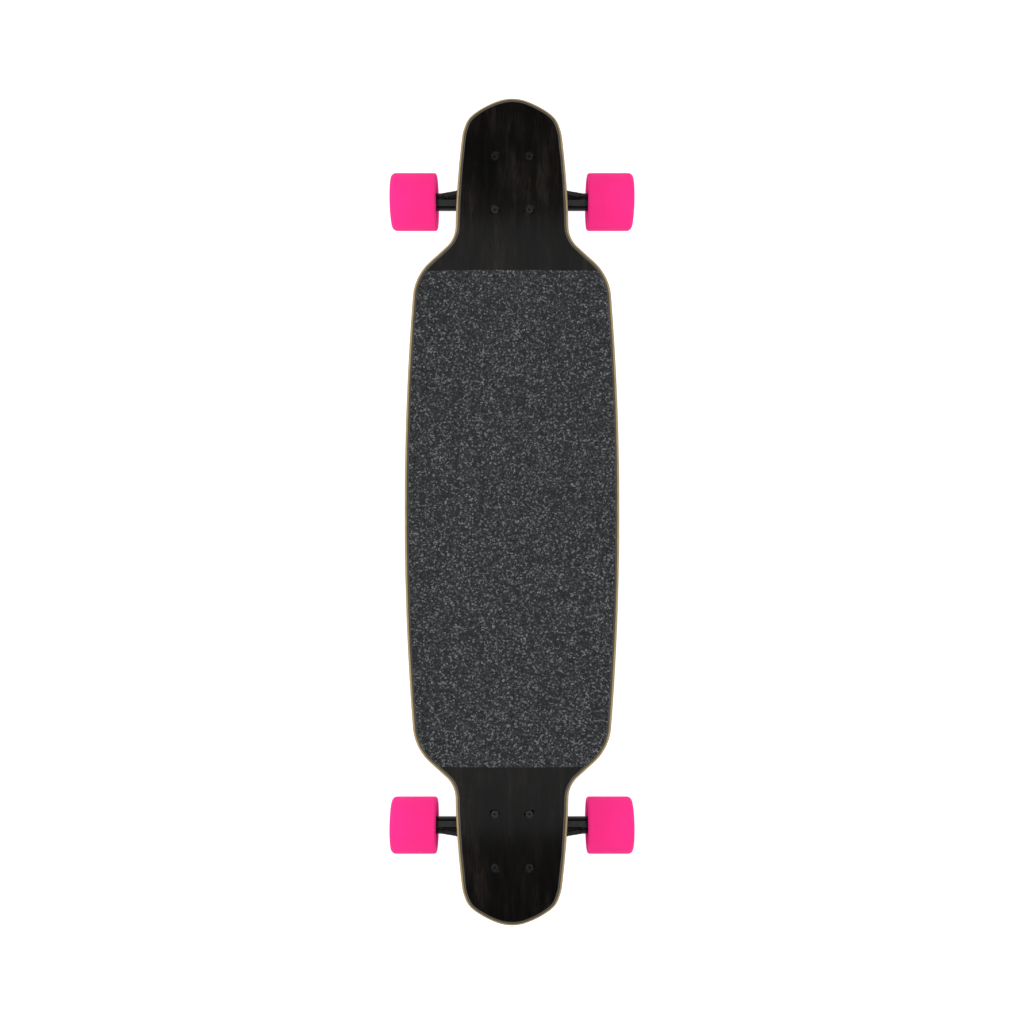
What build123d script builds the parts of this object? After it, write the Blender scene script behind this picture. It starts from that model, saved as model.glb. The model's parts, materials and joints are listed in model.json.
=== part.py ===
from build123d import *
import os
from math import atan2, cos, degrees, hypot, pi, radians, sin

os.makedirs("parts", exist_ok=True)

# An electric longboard: symmetric deck with wheel cut-outs, reverse-kingpin trucks, two hub
# motors in the rear wheels and a slim electronics tub under the deck.
# Millimetres. +Z is up, +Y points to the nose, +X to the right. The origin is on the ground
# under the middle of the board.

# ---- Driving dimensions ----------------------------------------------------------------------
DECK_LENGTH = 990.0
DECK_HALF_WIDTH = 127.7
DECK_THICKNESS = 11.0
DECK_EDGE_RADIUS = 3.5
CONCAVE_FLAT = 84.0            # half width of the flat middle of the deck
CONCAVE_RADIUS = 115.0         # underside radius of the raised edges
GRIP_THICKNESS = 1.0
GRIP_INSET = 5.0               # bare wood rim round the grip tape
GRIP_FRONT = 289.0
GRIP_REAR = -305.0
GRIP_BULGE = 2.0               # how much its cut ends bow outwards

AXLE_Y = 396.5                 # axle to the middle of the board
WHEEL_RADIUS = 35.5
WHEEL_WIDTH = 58.0
WHEEL_X = 124.0                # middle of the tread
TRUCK_HEIGHT = 75.0            # axle to the top of the baseplate
RISER_THICKNESS = 3.0

BOLT_Y = 393.0                 # middle of the bolt pattern
BOLT_SPACING_X = 41.3
BOLT_SPACING_Y = 63.5
BOLT_RADIUS = 2.4
BOLT_HOLE_RADIUS = 2.6
BOLT_HEAD_RADIUS = 4.5
BOLT_HEAD_SINK = 0.3           # head below the deck's surface

PIVOT_ANGLE = 45.0             # steering axis above the horizontal
PIVOT_TIP = (-19.5, -10.0)     # outboard and up, from the axle
PIVOT_REACH = 54.0             # pivot tip to the middle of the bushing seat
PIVOT_RADIUS = 5.0
RUNNING_FIT = 0.08
HANGER_HALF = 104.5
HANGER_RADIUS = 11.0
AXLE_RADIUS = 4.0
KINGPIN_RADIUS = 4.76
BUSHING_RADIUS = 13.0

TUB_LENGTH = 502.0
TUB_WIDTH = 150.0
TUB_DEPTH = 29.0
TUB_WALL = 2.5
TUB_Y = -11.0                  # middle of the tub
FLANGE_MARGIN = 8.0
FLANGE_THICKNESS = 3.0
GASKET_THICKNESS = 1.5
CELL_RADIUS = 9.2
CELL_LENGTH = 65.0
CELL_PITCH = 19.0
CELL_ROWS = 15

# ---- Derived levels and places ---------------------------------------------------------------
AXLE_Z = WHEEL_RADIUS
DECK_BOTTOM = AXLE_Z + TRUCK_HEIGHT + RISER_THICKNESS
DECK_TOP = DECK_BOTTOM + DECK_THICKNESS
FLANGE_TOP = DECK_BOTTOM - GASKET_THICKNESS
TUB_FLOOR = FLANGE_TOP - TUB_DEPTH
TUB_TAIL = TUB_Y - TUB_LENGTH / 2
TUB_SIDE = TUB_WIDTH / 2
HALF_WHEEL = WHEEL_WIDTH / 2
SINK_RADIUS = BOLT_HEAD_RADIUS + BOLT_HEAD_SINK + 0.1

TRUCKS = {
    "front": Location((0, AXLE_Y, AXLE_Z)),
    "rear": Location((0, -AXLE_Y, AXLE_Z), (0, 0, 180)),
}
WHEELS = {
    "front_left": Location((-WHEEL_X, AXLE_Y, AXLE_Z), (0, 0, 180)),
    "front_right": Location((WHEEL_X, AXLE_Y, AXLE_Z)),
    "rear_left": Location((-WHEEL_X, -AXLE_Y, AXLE_Z), (0, 0, 180)),
    "rear_right": Location((WHEEL_X, -AXLE_Y, AXLE_Z)),
}
BOLT_POINTS = [
    (x * BOLT_SPACING_X / 2, end * BOLT_Y + y * BOLT_SPACING_Y / 2)
    for end in (1, -1) for y in (1, -1) for x in (1, -1)
]

# Screws round the tub's flange: along both sides and one at each end
INSERT_RADIUS = 3.0
INSERT_LENGTH = 8.0
SCREW_RADIUS = 2.0
SCREW_LINE = TUB_SIDE + FLANGE_MARGIN / 2
SCREW_SPAN = TUB_LENGTH / 2 - 30
TUB_SCREWS = [
    (side * SCREW_LINE, TUB_Y + SCREW_SPAN * step / 3)
    for side in (1, -1) for step in (-3, -1.8, -0.6, 0.6, 1.8, 3)
]
TUB_SCREWS += [(0, TUB_Y + end * (TUB_LENGTH / 2 + FLANGE_MARGIN / 2)) for end in (1, -1)]

# Truck geometry, in the plane across the axle: y outboard and z up, from the axle
ALONG_PIVOT = Vector(0, cos(radians(PIVOT_ANGLE)), sin(radians(PIVOT_ANGLE)))
ALONG_KINGPIN = Vector(0, sin(radians(PIVOT_ANGLE)), -cos(radians(PIVOT_ANGLE)))
PIVOT_POINT = Vector(0, *PIVOT_TIP)
RING_CENTRE = PIVOT_POINT + ALONG_PIVOT * PIVOT_REACH
RING_HALF = 4.0
BOARDSIDE = -20.0              # seat of the baseplate, along the kingpin from the ring
ROADSIDE = 17.0                # end of the lower bushing, along the kingpin from the ring
WASHER_THICKNESS = 1.5
KINGPIN_NUT_HEIGHT = 8.0
KINGPIN_HEAD = -38.0           # underside of the kingpin's head, along the kingpin


def kingpin_plane(distance):
    """A plane square to the kingpin, at a distance below the middle of the ring."""
    return Plane(RING_CENTRE + ALONG_KINGPIN * distance, x_dir=(1, 0, 0), z_dir=ALONG_KINGPIN)


def pivot_plane(distance):
    """A plane square to the steering axis, at a distance from the pivot's tip."""
    return Plane(PIVOT_POINT + ALONG_PIVOT * distance, x_dir=(1, 0, 0), z_dir=ALONG_PIVOT)


def sleeve(start, end, inner, outer):
    """A ring about the X axis, from x = start to x = end."""
    with BuildPart() as body:
        with BuildSketch(Plane.YZ.offset(start)):
            Circle(outer)
            Circle(inner, mode=Mode.SUBTRACT)
        extrude(amount=end - start)
    return body.part


def lock_nut(start, height, bore, across_flats):
    """A hexagon nut with a round nylon collar, about the X axis."""
    collar = height * 0.28
    with BuildPart() as body:
        with BuildSketch(Plane.YZ.offset(start)):
            RegularPolygon(across_flats / 2, 6, major_radius=False)
            Circle(bore, mode=Mode.SUBTRACT)
        extrude(amount=height - collar)
        with BuildSketch(Plane.YZ.offset(start + height - collar)):
            Circle(across_flats * 0.44)
            Circle(bore, mode=Mode.SUBTRACT)
        extrude(amount=collar)
    return body.part


def group(*pieces):
    """Separate solids kept together as one node."""
    with BuildPart() as body:
        for piece in pieces:
            add(piece)
    return body.part


def both_sides(*pieces):
    """The pieces on the right, and the same turned half round for the left."""
    with BuildPart() as body:
        for piece in pieces:
            add(piece)
            add(piece, rotation=(0, 0, 180))
    return body.part


def save(piece, name):
    """Label a finished piece and write it as its own file."""
    piece.label = name
    export_step(piece, f"parts/{name}.step")


# ---- Deck and grip tape ----------------------------------------------------------------------
NOSE = (0, DECK_LENGTH / 2)
WAIST = (DECK_HALF_WIDTH, 0)


def quarter_outline():
    """The deck's edge from the tip of the nose to the widest point of the right side."""
    tip = Spline(
        NOSE, (22.0, 490.2), (42.2, 479.4), (53.4, 468.6), (57.9, 457.8), (60.6, 443.0),
        tangents=[(1, 0), (0.1, -1)],
    )
    neck = ThreePointArc(tip @ 1, (65.1, 395.0), (67.6, 342.0))
    inner_corner = TangentArc(neck @ 1, (80.4, 316.0), tangent=neck % 1)
    flank = Line(inner_corner @ 1, (97.0, 300.8))
    shoulder = TangentArc(flank @ 1, (118.1, 258.8), tangent=flank % 1)
    ThreePointArc(shoulder @ 1, (125.43, 129.4), WAIST)


with BuildSketch() as deck_outline:
    with BuildLine():
        quarter_outline()
        mirror(about=Plane.XZ)
        mirror(about=Plane.YZ)
    make_face()

with BuildSketch() as grip_outline:
    add(deck_outline.sketch)
    offset(amount=-GRIP_INSET)
    with BuildSketch(mode=Mode.INTERSECT):
        with BuildLine():
            front_edge = ThreePointArc(
                (-DECK_HALF_WIDTH, GRIP_FRONT - GRIP_BULGE),
                (0, GRIP_FRONT),
                (DECK_HALF_WIDTH, GRIP_FRONT - GRIP_BULGE),
            )
            rear_edge = ThreePointArc(
                (DECK_HALF_WIDTH, GRIP_REAR + GRIP_BULGE),
                (0, GRIP_REAR),
                (-DECK_HALF_WIDTH, GRIP_REAR + GRIP_BULGE),
            )
            Line(front_edge @ 1, rear_edge @ 0)
            Line(rear_edge @ 1, front_edge @ 0)
        make_face()


def concave_section(low, high):
    """The slice between two heights above the deck's underside, flat with raised edges."""
    with BuildSketch(Plane.XZ.offset(-DECK_LENGTH / 2)) as section:
        with BuildLine():
            under = Line((0, low), (CONCAVE_FLAT, low))
            under_rise = JernArc(under @ 1, (1, 0), CONCAVE_RADIUS - low, 27)
            over = Line((0, high), (CONCAVE_FLAT, high))
            over_rise = JernArc(over @ 1, (1, 0), CONCAVE_RADIUS - high, 27)
            Line(under_rise @ 1, over_rise @ 1)
            mirror(about=Plane.YZ)
        make_face()
    return section.sketch.moved(Location((0, 0, DECK_BOTTOM)))


with BuildPart() as deck:
    with BuildSketch(Plane.XY.offset(DECK_BOTTOM - 1)):
        add(deck_outline.sketch)
    extrude(amount=DECK_THICKNESS * 3)
    extrude(concave_section(0, DECK_THICKNESS), amount=DECK_LENGTH, mode=Mode.INTERSECT)
    rim = [edge for edge in deck.edges() if abs(edge.tangent_at(0.5).Z) < 0.5]
    fillet(rim, DECK_EDGE_RADIUS)
    with Locations(*[(x, y, DECK_TOP) for x, y in BOLT_POINTS]):
        CounterSinkHole(BOLT_HOLE_RADIUS, SINK_RADIUS, counter_sink_angle=90)
    with BuildSketch(Plane.XY.offset(DECK_BOTTOM)):
        with Locations(*TUB_SCREWS):
            Circle(INSERT_RADIUS)
    extrude(amount=INSERT_LENGTH, mode=Mode.SUBTRACT)
deck.part.label = "deck"
export_step(deck.part, "parts/deck.step")

with BuildPart() as grip_tape:
    extrude(
        concave_section(DECK_THICKNESS, DECK_THICKNESS + GRIP_THICKNESS),
        amount=DECK_LENGTH,
    )
    with BuildSketch(Plane.XY.offset(DECK_BOTTOM)):
        add(grip_outline.sketch)
    extrude(amount=DECK_THICKNESS * 3, mode=Mode.INTERSECT)
grip_tape.part.label = "grip_tape"
export_step(grip_tape.part, "parts/grip_tape.step")

# ---- Truck bolts, nuts and risers ------------------------------------------------------------
BOLT_LENGTH = 31.0
BOLT_TOP = DECK_TOP - BOLT_HEAD_SINK
BASE_THICKNESS = 6.0
BASE_TOP = DECK_BOTTOM - RISER_THICKNESS
BASE_LENGTH = 92.0
BASE_WIDTH = 58.0
BASE_Y = BOLT_Y - AXLE_Y       # middle of the plate, outboard of the axle

with BuildPart() as truck_bolt:
    with BuildSketch(Plane.XZ):
        with BuildLine():
            Polyline(
                (0, 0),
                (BOLT_HEAD_RADIUS, 0),
                (BOLT_RADIUS, BOLT_RADIUS - BOLT_HEAD_RADIUS),
                (BOLT_RADIUS, 0.6 - BOLT_LENGTH),
                (BOLT_RADIUS - 0.6, -BOLT_LENGTH),
                (0, -BOLT_LENGTH),
                close=True,
            )
        make_face()
    revolve(axis=Axis.Z)
    with BuildSketch(Plane.XY):
        Rectangle(5.0, 1.1)
        Rectangle(1.1, 5.0)
    extrude(amount=-2.0, taper=12, mode=Mode.SUBTRACT)

with BuildPart() as truck_bolts:
    with Locations(*[(x, y, BOLT_TOP) for x, y in BOLT_POINTS]):
        add(truck_bolt.part)
truck_bolts.part.label = "truck_bolts"
export_step(truck_bolts.part, "parts/truck_bolts.step")

truck_nut = lock_nut(0, 6.0, BOLT_RADIUS, 9.5).rotate(Axis.Y, 90)
with BuildPart() as truck_nuts:
    with Locations(*[(x, y, BASE_TOP - BASE_THICKNESS) for x, y in BOLT_POINTS]):
        add(truck_nut)
truck_nuts.part.label = "truck_nuts"
export_step(truck_nuts.part, "parts/truck_nuts.step")


def base_outline():
    """The baseplate's plan with its bolt holes, for one truck, y outboard."""
    with BuildSketch() as outline:
        with Locations((0, BASE_Y)):
            RectangleRounded(BASE_WIDTH, BASE_LENGTH, 9)
            with GridLocations(BOLT_SPACING_X, BOLT_SPACING_Y, 2, 2):
                Circle(BOLT_HOLE_RADIUS, mode=Mode.SUBTRACT)
    return outline.sketch


with BuildPart() as riser:
    extrude(base_outline(), amount=RISER_THICKNESS)
riser_pads = group(*[riser.part.moved(place * Location((0, 0, TRUCK_HEIGHT))) for place in TRUCKS.values()])
save(riser_pads, "riser_pads")

# ---- Baseplate -------------------------------------------------------------------------------
# Seen along the axle: a plate, a sloping seat for the upper bushing and a tower whose mouth
# faces up along the steering axis and holds the pivot cup.
CUP_OUTER = 7.5
CUP_FLOOR = -2.0               # bottom of the cup, along the steering axis from the pivot's tip
CUP_MOUTH = 8.0
TOWER_RADIUS = 10.5
TOWER_HALF = 12.0
BODY_HALF = 15.0
SEAT_HALF = 15.0

seat = RING_CENTRE + ALONG_KINGPIN * BOARDSIDE
mouth = PIVOT_POINT + ALONG_PIVOT * CUP_MOUTH
seat_low = seat - ALONG_PIVOT * SEAT_HALF
seat_high = seat + ALONG_PIVOT * SEAT_HALF
mouth_low = mouth + ALONG_KINGPIN * TOWER_RADIUS
mouth_high = mouth - ALONG_KINGPIN * TOWER_RADIUS
PLATE_UNDER = TRUCK_HEIGHT - BASE_THICKNESS

with BuildPart() as baseplate:
    with BuildSketch(Plane.XY.offset(PLATE_UNDER)):
        add(base_outline())
    extrude(amount=BASE_THICKNESS)
    with BuildSketch(Plane.YZ) as tower_side:
        with BuildLine():
            Polyline(
                (-43, PLATE_UNDER + 1),
                (-31, -8),
                (-26, -18),
                (-14, -18),
                (mouth_low.Y, mouth_low.Z),
                (mouth_high.Y, mouth_high.Z),
                (seat_low.Y, seat_low.Z),
                (seat_high.Y, seat_high.Z),
                (30, PLATE_UNDER + 1),
                close=True,
            )
        make_face()
    extrude(amount=BODY_HALF, both=True)
    # the tower narrows towards the cup
    with BuildSketch(Plane.XZ.offset(50)):
        with BuildLine():
            Polyline(
                (TOWER_HALF, -20),
                (TOWER_HALF, 12),
                (BODY_HALF, 34),
                (BODY_HALF + 5, 34),
                (BODY_HALF + 5, -20),
                close=True,
            )
        make_face()
        mirror(about=Plane.YZ)
    extrude(amount=-100, mode=Mode.SUBTRACT)
    fillet(baseplate.edges().filter_by(Axis.X).group_by(Axis.Z)[0], 4)
    with BuildSketch(kingpin_plane(BOARDSIDE + 1)):
        Circle(KINGPIN_RADIUS + 0.1)
    extrude(amount=-60, mode=Mode.SUBTRACT)
    with BuildSketch(kingpin_plane(KINGPIN_HEAD)):
        Circle(9.5)
    extrude(amount=-40, mode=Mode.SUBTRACT)
    with BuildSketch(pivot_plane(CUP_FLOOR)):
        Circle(CUP_OUTER)
    extrude(amount=30, mode=Mode.SUBTRACT)

for end, place in TRUCKS.items():
    save(baseplate.part.moved(place), f"{end}_baseplate")

with BuildPart() as pivot_cup:
    with BuildSketch(pivot_plane(CUP_FLOOR)):
        Circle(CUP_OUTER)
    extrude(amount=CUP_MOUTH - CUP_FLOOR + 1)
    with BuildSketch(pivot_plane(PIVOT_RADIUS)):
        Circle(PIVOT_RADIUS + RUNNING_FIT)
    extrude(amount=20, mode=Mode.SUBTRACT)
    with Locations(pivot_plane(PIVOT_RADIUS)):
        Sphere(PIVOT_RADIUS + RUNNING_FIT, mode=Mode.SUBTRACT)
save(group(*[pivot_cup.part.moved(place) for place in TRUCKS.values()]), "pivot_cups")

# ---- Kingpins, bushings and their washers ----------------------------------------------------
NUT_START = ROADSIDE + WASHER_THICKNESS
KINGPIN_END = NUT_START + KINGPIN_NUT_HEIGHT + 2
WRENCH_SIZE = 14.3             # across flats of the kingpin's head and nut

with BuildPart() as kingpin:
    with BuildSketch(kingpin_plane(KINGPIN_HEAD)):
        Circle(KINGPIN_RADIUS)
    extrude(amount=KINGPIN_END - KINGPIN_HEAD)
    chamfer(kingpin.faces().sort_by(Axis(RING_CENTRE, ALONG_KINGPIN))[-1].edges(), 0.8)
    with BuildSketch(kingpin_plane(KINGPIN_HEAD)):
        RegularPolygon(WRENCH_SIZE / 2, 6, major_radius=False)
    extrude(amount=-7)
save(group(*[kingpin.part.moved(place) for place in TRUCKS.values()]), "kingpins")

with BuildPart() as kingpin_nut:
    with BuildSketch(kingpin_plane(NUT_START)):
        RegularPolygon(WRENCH_SIZE / 2, 6, major_radius=False)
        Circle(KINGPIN_RADIUS, mode=Mode.SUBTRACT)
    extrude(amount=KINGPIN_NUT_HEIGHT * 0.75)
    with BuildSketch(kingpin_plane(NUT_START + KINGPIN_NUT_HEIGHT * 0.75)):
        Circle(WRENCH_SIZE * 0.43)
        Circle(KINGPIN_RADIUS, mode=Mode.SUBTRACT)
    extrude(amount=KINGPIN_NUT_HEIGHT * 0.25)
save(group(*[kingpin_nut.part.moved(place) for place in TRUCKS.values()]), "kingpin_nuts")

with BuildPart() as washers:
    for distance in (BOARDSIDE, ROADSIDE):
        with BuildSketch(kingpin_plane(distance)):
            Circle(BUSHING_RADIUS + 0.5)
            Circle(KINGPIN_RADIUS, mode=Mode.SUBTRACT)
        extrude(amount=WASHER_THICKNESS)
save(group(*[washers.part.moved(place) for place in TRUCKS.values()]), "cup_washers")

with BuildPart() as bushings:
    with BuildSketch(kingpin_plane(BOARDSIDE + WASHER_THICKNESS)):
        Circle(BUSHING_RADIUS)
        Circle(KINGPIN_RADIUS, mode=Mode.SUBTRACT)
    extrude(amount=-RING_HALF - BOARDSIDE - WASHER_THICKNESS)
    with BuildSketch(kingpin_plane(RING_HALF)):
        Circle(BUSHING_RADIUS)
    with BuildSketch(kingpin_plane(ROADSIDE)):
        Circle(BUSHING_RADIUS * 0.8)
    loft()
    with BuildSketch(kingpin_plane(RING_HALF)):
        Circle(KINGPIN_RADIUS)
    extrude(amount=ROADSIDE - RING_HALF, mode=Mode.SUBTRACT)
for end, place in TRUCKS.items():
    save(bushings.part.moved(place), f"{end}_bushings")

# ---- Hanger ----------------------------------------------------------------------------------
RING_RADIUS = 17.0
RING_BORE = 6.5
WEB_HALF = 5.0
FLAT_LEVEL = 9.75              # from the axle to the flat
FLAT_TILT = 17.6
RING_REACH = hypot(RING_CENTRE.Y, RING_CENTRE.Z)
WEB_TILT = degrees(atan2(RING_CENTRE.Z, RING_CENTRE.Y))
WEB_PLANE = Plane((0, 0, 0), x_dir=(1, 0, 0), z_dir=(0, -sin(radians(WEB_TILT)), cos(radians(WEB_TILT))))

with BuildPart() as hanger:
    with BuildSketch(Plane.YZ.offset(-HANGER_HALF)):
        Circle(HANGER_RADIUS)
        # a flat along the top, tipped towards the middle of the board
        with PolarLocations(FLAT_LEVEL + HANGER_RADIUS, 1, start_angle=90 + FLAT_TILT):
            Rectangle(2 * HANGER_RADIUS, 2 * HANGER_RADIUS, mode=Mode.SUBTRACT)
    extrude(amount=2 * HANGER_HALF)
    # a wing that widens from the wheels towards the ring
    with BuildSketch(WEB_PLANE):
        with BuildLine():
            Polyline(
                (-103, 0), (103, 0), (103, 7.6), (66, 15.8), (34, 31), (16, RING_REACH + 2),
                (-16, RING_REACH + 2), (-34, 31), (-66, 15.8), (-103, 7.6), close=True,
            )
        make_face()
    extrude(amount=WEB_HALF, both=True)
    with BuildSketch(kingpin_plane(-RING_HALF)):
        Circle(RING_RADIUS)
    extrude(amount=2 * RING_HALF)
    # pivot pin with a round nose
    with BuildSketch(pivot_plane(PIVOT_RADIUS)):
        Circle(PIVOT_RADIUS)
    extrude(amount=16)
    with Locations(pivot_plane(PIVOT_RADIUS)):
        Sphere(PIVOT_RADIUS)
    with BuildSketch(kingpin_plane(-3 * RING_HALF)):
        Circle(RING_BORE)
    extrude(amount=6 * RING_HALF, mode=Mode.SUBTRACT)
    # flats above and below the ring so that the bushings sit square
    with BuildSketch(kingpin_plane(RING_HALF)):
        Circle(BUSHING_RADIUS + 1)
    extrude(amount=12, mode=Mode.SUBTRACT)
    with BuildSketch(kingpin_plane(-RING_HALF)):
        Circle(BUSHING_RADIUS + 1)
    extrude(amount=-12, mode=Mode.SUBTRACT)
    with BuildSketch(Plane.YZ.offset(-HANGER_HALF)):
        Circle(AXLE_RADIUS)
    extrude(amount=2 * HANGER_HALF, mode=Mode.SUBTRACT)
for end, place in TRUCKS.items():
    save(hanger.part.moved(place), f"{end}_hanger")

# ---- Axles, washers, nuts and bearings -------------------------------------------------------
# Positions along the axle are measured from the middle of the board.
SPEED_WASHER = 1.0
RACE_WIDTH = 7.0
SPACER = 10.0
NUT_HEIGHT = 7.0
INNER_RACE = 6.0
SHIELD_GAP = 6.4
BEARING_RADIUS = 11.0
INNER_BEARING = HANGER_HALF + SPEED_WASHER
OUTER_BEARING = INNER_BEARING + RACE_WIDTH + SPACER
OUTER_WASHER = OUTER_BEARING + RACE_WIDTH
AXLE_NUT = OUTER_WASHER + SPEED_WASHER
FRONT_AXLE_END = AXLE_NUT + NUT_HEIGHT + 2
AXLE_CHAMFER = 0.8


def axle(half_length):
    """A straight axle with chamfered ends."""
    with BuildPart() as body:
        with BuildSketch(Plane.YZ.offset(-half_length)):
            Circle(AXLE_RADIUS)
        extrude(amount=2 * half_length)
        chamfer(body.edges().group_by(Axis.X)[0] + body.edges().group_by(Axis.X)[-1], AXLE_CHAMFER)
    return body.part


def bearing_race(start):
    return sleeve(start, start + RACE_WIDTH, AXLE_RADIUS, INNER_RACE)


FRONT = TRUCKS["front"]
REAR = TRUCKS["rear"]
save(axle(FRONT_AXLE_END).moved(FRONT), "front_axle")
speed_washers = both_sides(
    sleeve(HANGER_HALF, INNER_BEARING, AXLE_RADIUS, INNER_RACE - 0.3),
    sleeve(OUTER_WASHER, AXLE_NUT, AXLE_RADIUS, INNER_RACE - 0.3),
)
save(speed_washers.moved(FRONT), "front_speed_washers")
save(both_sides(bearing_race(INNER_BEARING), bearing_race(OUTER_BEARING)).moved(FRONT), "front_inner_races")
spacers = both_sides(sleeve(INNER_BEARING + RACE_WIDTH, OUTER_BEARING, AXLE_RADIUS, 5.2))
save(spacers.moved(FRONT), "front_bearing_spacers")
save(both_sides(lock_nut(AXLE_NUT, NUT_HEIGHT, AXLE_RADIUS, 12.7)).moved(FRONT), "front_axle_nuts")

# ---- Front wheels ----------------------------------------------------------------------------
# Wheel pieces lie about the X axis, x outward from the middle of the tread.
OUTER_LIP = 6.3
INNER_LIP = 3.5
CORE_RADIUS = 22.0
CORE_INNER = -21.0
CORE_OUTER = 20.0


def tyre(bore, bore_start, bore_end, face_radius):
    """A poured urethane tyre: round outer lip, tight inner lip and dished side faces."""
    with BuildPart() as body:
        with BuildSketch():
            with BuildLine():
                Polyline(
                    (bore_start, bore),
                    (-HALF_WHEEL + 2, face_radius - 1.2),
                    (-HALF_WHEEL, face_radius),
                    (-HALF_WHEEL, WHEEL_RADIUS - INNER_LIP),
                )
                JernArc((-HALF_WHEEL, WHEEL_RADIUS - INNER_LIP), (0, 1), INNER_LIP, -90)
                Line((INNER_LIP - HALF_WHEEL, WHEEL_RADIUS), (HALF_WHEEL - OUTER_LIP, WHEEL_RADIUS))
                JernArc((HALF_WHEEL - OUTER_LIP, WHEEL_RADIUS), (1, 0), OUTER_LIP, -90)
                Polyline(
                    (HALF_WHEEL, WHEEL_RADIUS - OUTER_LIP),
                    (HALF_WHEEL - 1, face_radius - 1),
                    (bore_end, bore),
                    (bore_start, bore),
                )
            make_face()
        revolve(axis=Axis.X)
    return body.part


front_tyre = tyre(CORE_RADIUS, CORE_INNER, CORE_OUTER, 27.5)

HUB_RADIUS = 15.0
RIM_RADIUS = 19.5
hub_start = INNER_BEARING - WHEEL_X
hub_ridge = hub_start + RACE_WIDTH
hub_end = OUTER_BEARING - WHEEL_X + RACE_WIDTH

with BuildPart() as front_core:
    with BuildSketch(Plane.YZ.offset(CORE_INNER)):
        Circle(CORE_RADIUS)
        Circle(RIM_RADIUS, mode=Mode.SUBTRACT)
    extrude(amount=CORE_OUTER - CORE_INNER)
    with BuildSketch(Plane.YZ.offset(hub_start)):
        Circle(RIM_RADIUS)
        Circle(BEARING_RADIUS, mode=Mode.SUBTRACT)
        # windows between the spokes
        with PolarLocations((RIM_RADIUS + HUB_RADIUS) / 2, 10):
            RectangleRounded(RIM_RADIUS - HUB_RADIUS, 7.4, 1.2, mode=Mode.SUBTRACT)
    extrude(amount=hub_end - hub_start)
    with BuildSketch(Plane.YZ.offset(hub_ridge)):
        Circle(BEARING_RADIUS)
        Circle(BEARING_RADIUS - 1.5, mode=Mode.SUBTRACT)
    extrude(amount=SPACER)

outer_races = group(*[
    sleeve(start - WHEEL_X, start - WHEEL_X + RACE_WIDTH, SHIELD_GAP, BEARING_RADIUS)
    for start in (INNER_BEARING, OUTER_BEARING)
])
for corner in ("front_left", "front_right"):
    place = WHEELS[corner]
    save(front_tyre.moved(place), f"{corner}_tyre")
    save(front_core.part.moved(place), f"{corner}_core")
    save(outer_races.moved(place), f"{corner}_outer_races")

# ---- Rear wheels: hub motors -----------------------------------------------------------------
CAN_RADIUS = 27.5
CAN_WALL = 2.5
CAN_BORE = CAN_RADIUS - CAN_WALL
CAN_START = 107.0
CAN_END = 144.0
END_WALL = 136.0
END_WALL_THICKNESS = 6.0
STATOR_START = 114.0
STATOR_END = 132.0
STATOR_RADIUS = 22.3
MAGNET_THICKNESS = 2.0
MAGNETS = 14
TEETH = 12
SHAFT_RADIUS = 6.0             # under the inner bearing
STATOR_BORE = 8.0
MOTOR_BEARING = 105.5
MOTOR_BEARING_WIDTH = 6.0
MOTOR_BEARING_END = MOTOR_BEARING + MOTOR_BEARING_WIDTH
MOTOR_BEARING_RADIUS = 12.0
END_BEARING = 135.0
REAR_WASHER = END_BEARING + RACE_WIDTH
REAR_NUT = REAR_WASHER + SPEED_WASHER
REAR_AXLE_END = REAR_NUT + NUT_HEIGHT + 1.5

rear_tyre = tyre(CAN_RADIUS, CAN_START - WHEEL_X, CAN_END - WHEEL_X, 29.4)

with BuildPart() as rotor:
    add(sleeve(CAN_START - WHEEL_X, CAN_END - WHEEL_X, CAN_BORE, CAN_RADIUS))
    with BuildSketch(Plane.YZ.offset(END_WALL - WHEEL_X)):
        Circle(CAN_BORE)
        Circle(BEARING_RADIUS, mode=Mode.SUBTRACT)
    extrude(amount=END_WALL_THICKNESS)
    add(sleeve(END_BEARING - WHEEL_X, REAR_WASHER - WHEEL_X, BEARING_RADIUS, BEARING_RADIUS + 3))
    # shallow cooling pockets on the outside of the end wall
    with BuildSketch(Plane.YZ.offset(END_WALL + END_WALL_THICKNESS - WHEEL_X)):
        with PolarLocations(19.3, 9):
            SlotOverall(9, 4.6)
    extrude(amount=-2.5, mode=Mode.SUBTRACT)


def arc_segment(outer, thickness, angle):
    """A piece of a ring, centred on the X axis of the sketch."""
    with BuildSketch() as segment:
        with BuildLine():
            outside = CenterArc((0, 0), outer, -angle / 2, angle)
            inside = CenterArc((0, 0), outer - thickness, -angle / 2, angle)
            Line(outside @ 0, inside @ 0)
            Line(outside @ 1, inside @ 1)
        make_face()
    return segment.sketch


with BuildPart() as magnets:
    with BuildSketch(Plane.YZ.offset(STATOR_START - WHEEL_X - 1)):
        with PolarLocations(0, MAGNETS):
            add(arc_segment(CAN_BORE, MAGNET_THICKNESS, 360 / MAGNETS - 3))
    extrude(amount=STATOR_END - STATOR_START + 2)

with BuildPart() as motor_cover:
    add(sleeve(CAN_START - WHEEL_X - 3, CAN_START - WHEEL_X, MOTOR_BEARING_RADIUS, CAN_RADIUS))
    add(sleeve(CAN_START - WHEEL_X, CAN_START - WHEEL_X + 2, CAN_BORE - 2, CAN_BORE))
    add(sleeve(CAN_START - WHEEL_X - 3, 112 - WHEEL_X, MOTOR_BEARING_RADIUS, MOTOR_BEARING_RADIUS + 2.6))
    with BuildSketch(Plane.YZ.offset(CAN_START - WHEEL_X - 3)):
        with PolarLocations(CAN_RADIUS - 2, 6):
            Circle(1.1)
    extrude(amount=1.5, mode=Mode.SUBTRACT)

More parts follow.
